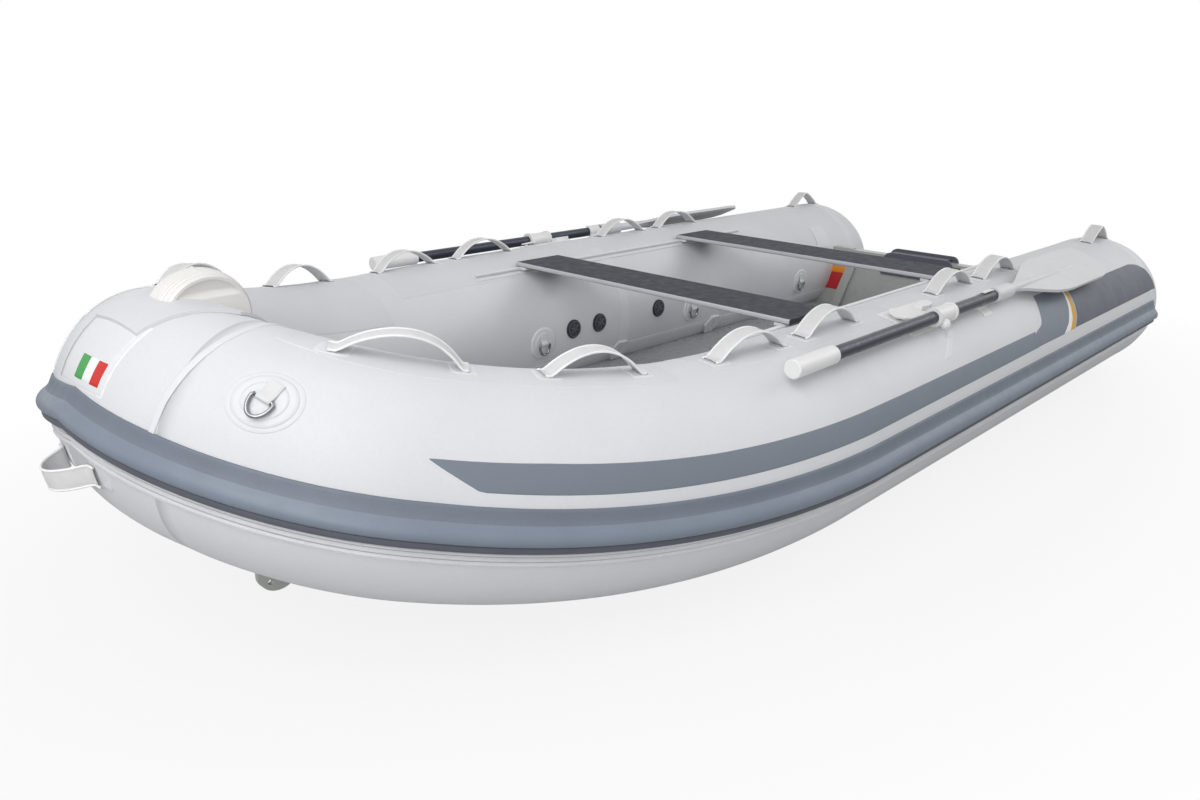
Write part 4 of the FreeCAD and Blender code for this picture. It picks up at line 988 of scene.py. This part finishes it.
FINISHES = [
    (GELCOAT, ["hull", "transom", "transom_knees"]),
    # The tow lug takes the lighter gelcoat as painted light
    (LUG_GELCOAT_PAINTED_LIGHT, ["tow_lug"]),
    (DECK_GELCOAT, ["deck"]),
    (MOTOR_PAD_PLASTIC, ["motor_pad"]),
    (RAIL_PLASTIC, pair("rail") + ["thwart_front_runners", "thwart_rear_runners"]),
    (THWART_BOARD, ["thwart_front", "thwart_rear"]),
    (SADDLE_PLASTIC, ["fairlead_saddle"]),
    (WEAR_FABRIC, ["lashing_pads"]),
    (SEAM_TAPE, ["stern_patches"]),
    (LABEL_RED, ["label_plate"]),
    (PLATE_GREY, ["transom_plate"]),
    (VALVE_PLASTIC, pair("valves")),
    (OAR_TUBE, pair("oar_shaft")),
    (BLADE_PLASTIC, pair("oar_blade")),
    (WHITE_PLASTIC, ["cone_caps"] + pair("oar_grip", "oar_collar", "rowlock_base", "oar_clip")),
]
for finish, nodes in FINISHES:
    for node in nodes:
        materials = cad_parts[node].data.materials
        materials.clear()
        materials.append(finish)


# Fairlead: a half-round body with a finely ribbed tread and a hollow in each side

SHEAVE_PLACE = Vector((BOW_CENTRE - 0.06, 0.0, CENTRE_HEIGHT + SHEER_RISE + BOW_HALF_HEIGHT - 0.0327))
SHEAVE_RIM = 0.0715
SHEAVE_EDGE = 0.0015
SHEAVE_HALF_WIDTH = 0.041
SHEAVE_REACH = 1.16
TREAD_CROWN = 0.0072
TREAD_RIB = 0.0007
TREAD_PITCH = 0.0088
SCOOP_RIM = SHEAVE_RIM - 0.0065
SCOOP_DEPTH = 0.01
SCOOP_FLOOR = 0.034


def sheave_point(turn, reach, across):
    forward = reach * cos(radians(turn))
    if forward > 0:
        forward *= SHEAVE_REACH
    return SHEAVE_PLACE + Vector((forward, across, reach * sin(radians(turn))))


def scoop(turn, reach):
    """Depth of the lens-shaped hollow in the side of the fairlead."""
    height = reach * sin(radians(turn))
    if reach >= SCOOP_RIM or height <= SCOOP_FLOOR:
        return 0.0
    top = sqrt(max(SCOOP_RIM * SCOOP_RIM - (reach * cos(radians(turn))) ** 2, 0.0))
    floor = min((height - SCOOP_FLOOR) / 0.01, 1.0)
    rise = min(max((top - height) / 0.02, 0.0), 1.0)
    return SCOOP_DEPTH * floor * sqrt(rise)


def tread_reach(across):
    share = abs(across) / SHEAVE_HALF_WIDTH
    if share > 0.94:
        return SHEAVE_RIM - SHEAVE_EDGE * (share - 0.94) / 0.06
    crown = SHEAVE_RIM + TREAD_CROWN * (1 - share ** 2.2)
    return crown + (TREAD_RIB * cos(2 * pi * across / TREAD_PITCH) if share < 0.86 else 0.0)


sheave = Net()
turns = spaced(-12.0, 192.0, 2.5)
for side in (1, -1):
    rows = []
    for reach in spaced(0.0, SHEAVE_RIM - SHEAVE_EDGE, 0.0016):
        depths = [SHEAVE_HALF_WIDTH - 0.0005 - scoop(turn, reach) for turn in turns]
        rows.append([sheave_point(turn, reach, side * depth) for turn, depth in zip(turns, depths)])
    sheave.add_points(rows, flip=side < 0)
rows = []
for across in spaced(-SHEAVE_HALF_WIDTH, SHEAVE_HALF_WIDTH, 0.0011):
    rows.append([sheave_point(turn, tread_reach(across), across) for turn in turns])
sheave.add_points(rows)
sheave.make("fairlead_sheave_skin", WARM_PLASTIC, ["fairlead_sheave"])


# Valve caps: three crossed ridges inside a rim

def spoke(place, turn):
    """Way across a valve cap, turned from the tube's line."""
    return place.along * cos(turn) + place.along.cross(place.normal(VALVE_ANGLE)) * sin(turn)


ridges = Net()
rims = Net()
for run in VALVE_RUNS:
    for place_run in both_sides(run):
        place = Place(place_run)
        middle = place.point(VALVE_ANGLE, VALVE_HEIGHT)
        low_middle = middle - place.normal(VALVE_ANGLE) * RIM_DROP
        for turn in RIDGE_TURNS:
            line = [middle + spoke(place, radians(turn)) * reach for reach in RIDGE_REACHES]
            ridges.add_points(rod_rows(line, RIDGE_WIRE, 8), closed=True, cap=True)
        ring = [low_middle + spoke(place, 2 * pi * k / 36) * VALVE_RIM for k in range(37)]
        rims.add_points(rod_rows(ring, RIM_WIRE, 8), closed=True)
ridges.make("valve_ridges", VALVE_RIDGE)
rims.make("valve_rims", VALVE_RIDGE)


# Edging along the front of each thwart

THWART_UNDERSIDE = 0.47656
THWART_HALF = 0.478
THWART_FRONTS = [("front", 0.348), ("rear", -0.404)]
EDGING_PROFILE = [(-0.003, 0.0123), (0.0002, 0.0112), (0.0011, 0.0098)]
EDGING_PROFILE += [(0.0011, 0.003), (0.0002, 0.0012), (-0.003, 0.0001)]
for name, front in THWART_FRONTS:
    edging = Net()
    rows = []
    for y in spaced(-THWART_HALF, THWART_HALF, 0.05):
        corner = Vector((front, y, THWART_UNDERSIDE))
        rows.append([corner + Vector((reach, 0, height)) for reach, height in EDGING_PROFILE])
    edging.add_points(rows, flip=True)
    edging.make("thwart_edging_" + name, THWART_EDGE, body="thwart_" + name)


# Orange strip along the top of the blank label plate, which leans with the transom

TRANSOM_SLOPE = (-1.3122 + 1.27) / (0.355 - 0.13)
STRIP_SHARE = 0.27
STRIP_MARGIN = 0.0012
LABEL_LEAN_LOW = 0.005
LABEL_LEAN_HIGH = 0.019
label_points = [vertex.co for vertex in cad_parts["label_plate"].data.vertices]
face = max(label_points, key=lambda point: point.x)
foot = min(point.z for point in label_points)
top = max(point.z for point in label_points)
first_y = min(point.y for point in label_points) + STRIP_MARGIN
last_y = max(point.y for point in label_points) - STRIP_MARGIN
strip_foot = top - STRIP_SHARE * (top - foot)
strip_lines = [(strip_foot, 0.0001), (strip_foot + 0.0008, 0.0007)]
strip_lines += [(top - 0.0012, 0.0007), (top - 0.0004, 0.0001)]
strip = Net()
rows = []
for z, proud in strip_lines:
    share = (z - foot) / (top - foot)
    low_y = first_y + LABEL_LEAN_LOW * (1 - share)
    high_y = last_y - LABEL_LEAN_HIGH * (1 - share)
    x = face.x + TRANSOM_SLOPE * (z - face.z) + proud
    rows.append([Vector((x, low_y + (high_y - low_y) * step / 6, z)) for step in range(7)])
strip.add_points(rows)
strip.make("label_strip", LABEL_ORANGE)


# Bow graphic: a raised blank panel with three upright bars, across the middle of the bow

BAND_ROWS = [(0.0, -0.4), (0.01, 0.6), (0.03, 1.0), (0.2, 1.0), (0.4, 1.0), (0.6, 1.0), (0.8, 1.0)]
BAND_ROWS += [(0.97, 1.0), (0.99, 0.6), (1.0, -0.4)]
BAND_COLUMNS = 12
BOW_PATCHES = [
    ("bow_panel_rim", EDGE_LINE, -0.083, 0.083, 25.0, 66.0, 0.0009),
    ("bow_panel", BOW_PANEL_FABRIC, -0.08, 0.08, 25.6, 65.3, 0.0013),
    ("bow_bar_green", STRIPE_GREEN, -0.014, 0.014, 29.0, 41.2, 0.0017),
    ("bow_bar_white", STRIPE_WHITE, 0.014, 0.0405, 29.0, 41.2, 0.0017),
    ("bow_bar_red", STRIPE_RED, 0.0405, 0.0655, 29.0, 41.2, 0.0017),
]
for name, material, low_y, high_y, low, high, proud in BOW_PATCHES:
    rows = []
    for share, edge in BAND_ROWS:
        angle = low + (high - low) * share
        row = []
        for k in range(BAND_COLUMNS + 3):
            inner = min(max((k - 1) / BAND_COLUMNS, 0.0), 1.0)
            height = min(edge, -0.4 if k in (0, BAND_COLUMNS + 2) else 1.0)
            y = low_y + (high_y - low_y) * inner
            run = BOW_RUN - y / (BOW_ARC_RADIUS + BOW_HALF_WIDTH * cos(radians(angle))) * BOW_ARC_RADIUS
            point = Place(run).point(angle, height * proud)
            row.append((point, (y, radians(angle) * BOW_HALF_WIDTH)))
        rows.append(row)
    net = Net()
    net.add(rows)
    net.make(name, material)


# Studio: pale floor at the waterline, world, lamps and camera

FLOOR_HALF = 30
FLOOR_ALBEDO = 0.62
FLOOR_GLOW_NEAR = 0.86
FLOOR_GLOW_START = 1.0
FLOOR_GLOW_END = 1.7
FLOOR_SQUASH = (0.55, 1.0, 1.0)
WORLD_LIGHT = 0.45
LAMPS = [
    ("bow_top", (3.0, 1.0, 3.0), (0.6, 0.2, 0.3), (2.6, 2.6), 64),
    ("bow_side", (4.4, 3.2, 2.0), (0.4, 0.3, 0.3), (2.6, 2.0), 52),
    ("stern_side", (-3.6, 2.5, 3.0), (-0.4, 0.0, 0.3), (3.0, 2.5), 46),
]
CAMERA_PLACE = Vector((2.2378, 1.6534, 1.0339))
CAMERA_YAW = -2.38654
CAMERA_PITCH = -0.33131
CAMERA_ROLL = 0.01726
CAMERA_LENS = 28.8


def floor_finish():
    """Matt floor that keeps the shadow under the boat and fades to white away from it."""
    material = bpy.data.materials.new("StudioFloor")
    tree = empty_tree(material)
    place = new_node(tree, "TexCoord").outputs["Object"]
    squashed = new_node(tree, "VectorMath", place, FLOOR_SQUASH, operation="MULTIPLY")
    distance = new_node(tree, "VectorMath", squashed.outputs["Vector"], operation="LENGTH")
    limits = {"From_Min": FLOOR_GLOW_START, "From_Max": FLOOR_GLOW_END, "To_Min": FLOOR_GLOW_NEAR}
    share = new_node(tree, "MapRange", distance.outputs["Value"], **limits).outputs["Result"]
    seen = new_node(tree, "LightPath").outputs["Is Camera Ray"]
    glowing = new_node(tree, "Math", seen, share, operation="MULTIPLY")
    matte = new_node(tree, "BsdfDiffuse", (FLOOR_ALBEDO, FLOOR_ALBEDO, FLOOR_ALBEDO, 1))
    glow = new_node(tree, "Emission", (1, 1, 1, 1), 1.0)
    shaders = [matte.outputs["BSDF"], glow.outputs["Emission"]]
    mix = new_node(tree, "MixShader", glowing.outputs["Value"], *shaders)
    new_node(tree, "OutputMaterial", mix.outputs["Shader"])
    return material


def set_world():
    """White to the camera and in reflections, dimmer as a light."""
    world = bpy.data.worlds.new("StudioWorld")
    bpy.context.scene.world = world
    tree = empty_tree(world)
    rays = new_node(tree, "LightPath").outputs
    seen = rays["Is Camera Ray"]
    for kind in ("Is Glossy Ray", "Is Transmission Ray"):
        seen = new_node(tree, "Math", seen, rays[kind], operation="MAXIMUM").outputs["Value"]
    strength = new_node(tree, "MapRange", seen, To_Min=WORLD_LIGHT).outputs["Result"]
    background = new_node(tree, "Background", (1, 1, 1, 1), strength)
    new_node(tree, "OutputWorld", background.outputs["Background"])


def area_light(name, place, target, size, power):
    light = bpy.data.lights.new(name, "AREA")
    light.shape = "RECTANGLE"
    light.size, light.size_y = size
    light.energy = power
    lamp = link_object(name, light)
    lamp.location = place
    lamp.rotation_euler = (Vector(target) - Vector(place)).to_track_quat("-Z", "Y").to_euler()


def set_camera():
    level_part = cos(CAMERA_PITCH)
    forward = Vector((level_part * cos(CAMERA_YAW), level_part * sin(CAMERA_YAW), sin(CAMERA_PITCH)))
    right = forward.cross(Vector((0, 0, 1))).normalized()
    top = right.cross(forward)
    rolled_right = right * cos(CAMERA_ROLL) + top * sin(CAMERA_ROLL)
    rolled_top = top * cos(CAMERA_ROLL) - right * sin(CAMERA_ROLL)
    data = bpy.data.cameras.new("camera")
    data.sensor_width = 36.0
    data.lens = CAMERA_LENS
    data.clip_start = 0.05
    data.clip_end = 100
    camera = link_object("camera", data)
    columns = (rolled_right, rolled_top, -forward, CAMERA_PLACE)
    camera.matrix_world = Matrix([[column[row] for column in columns] for row in range(3)] + [[0, 0, 0, 1]])
    bpy.context.scene.camera = camera


floor_corners = [(x * FLOOR_HALF, y * FLOOR_HALF, 0) for x, y in ((-1, -1), (1, -1), (1, 1), (-1, 1))]
floor_mesh = bpy.data.meshes.new("studio_floor")
floor_mesh.from_pydata(floor_corners, [], [(0, 1, 2, 3)])
floor_mesh.materials.append(floor_finish())
floor = link_object("studio_floor", floor_mesh)
set_world()
for lamp in LAMPS:
    area_light(*lamp)
set_camera()
bpy.context.scene.view_settings.view_transform = "Standard"
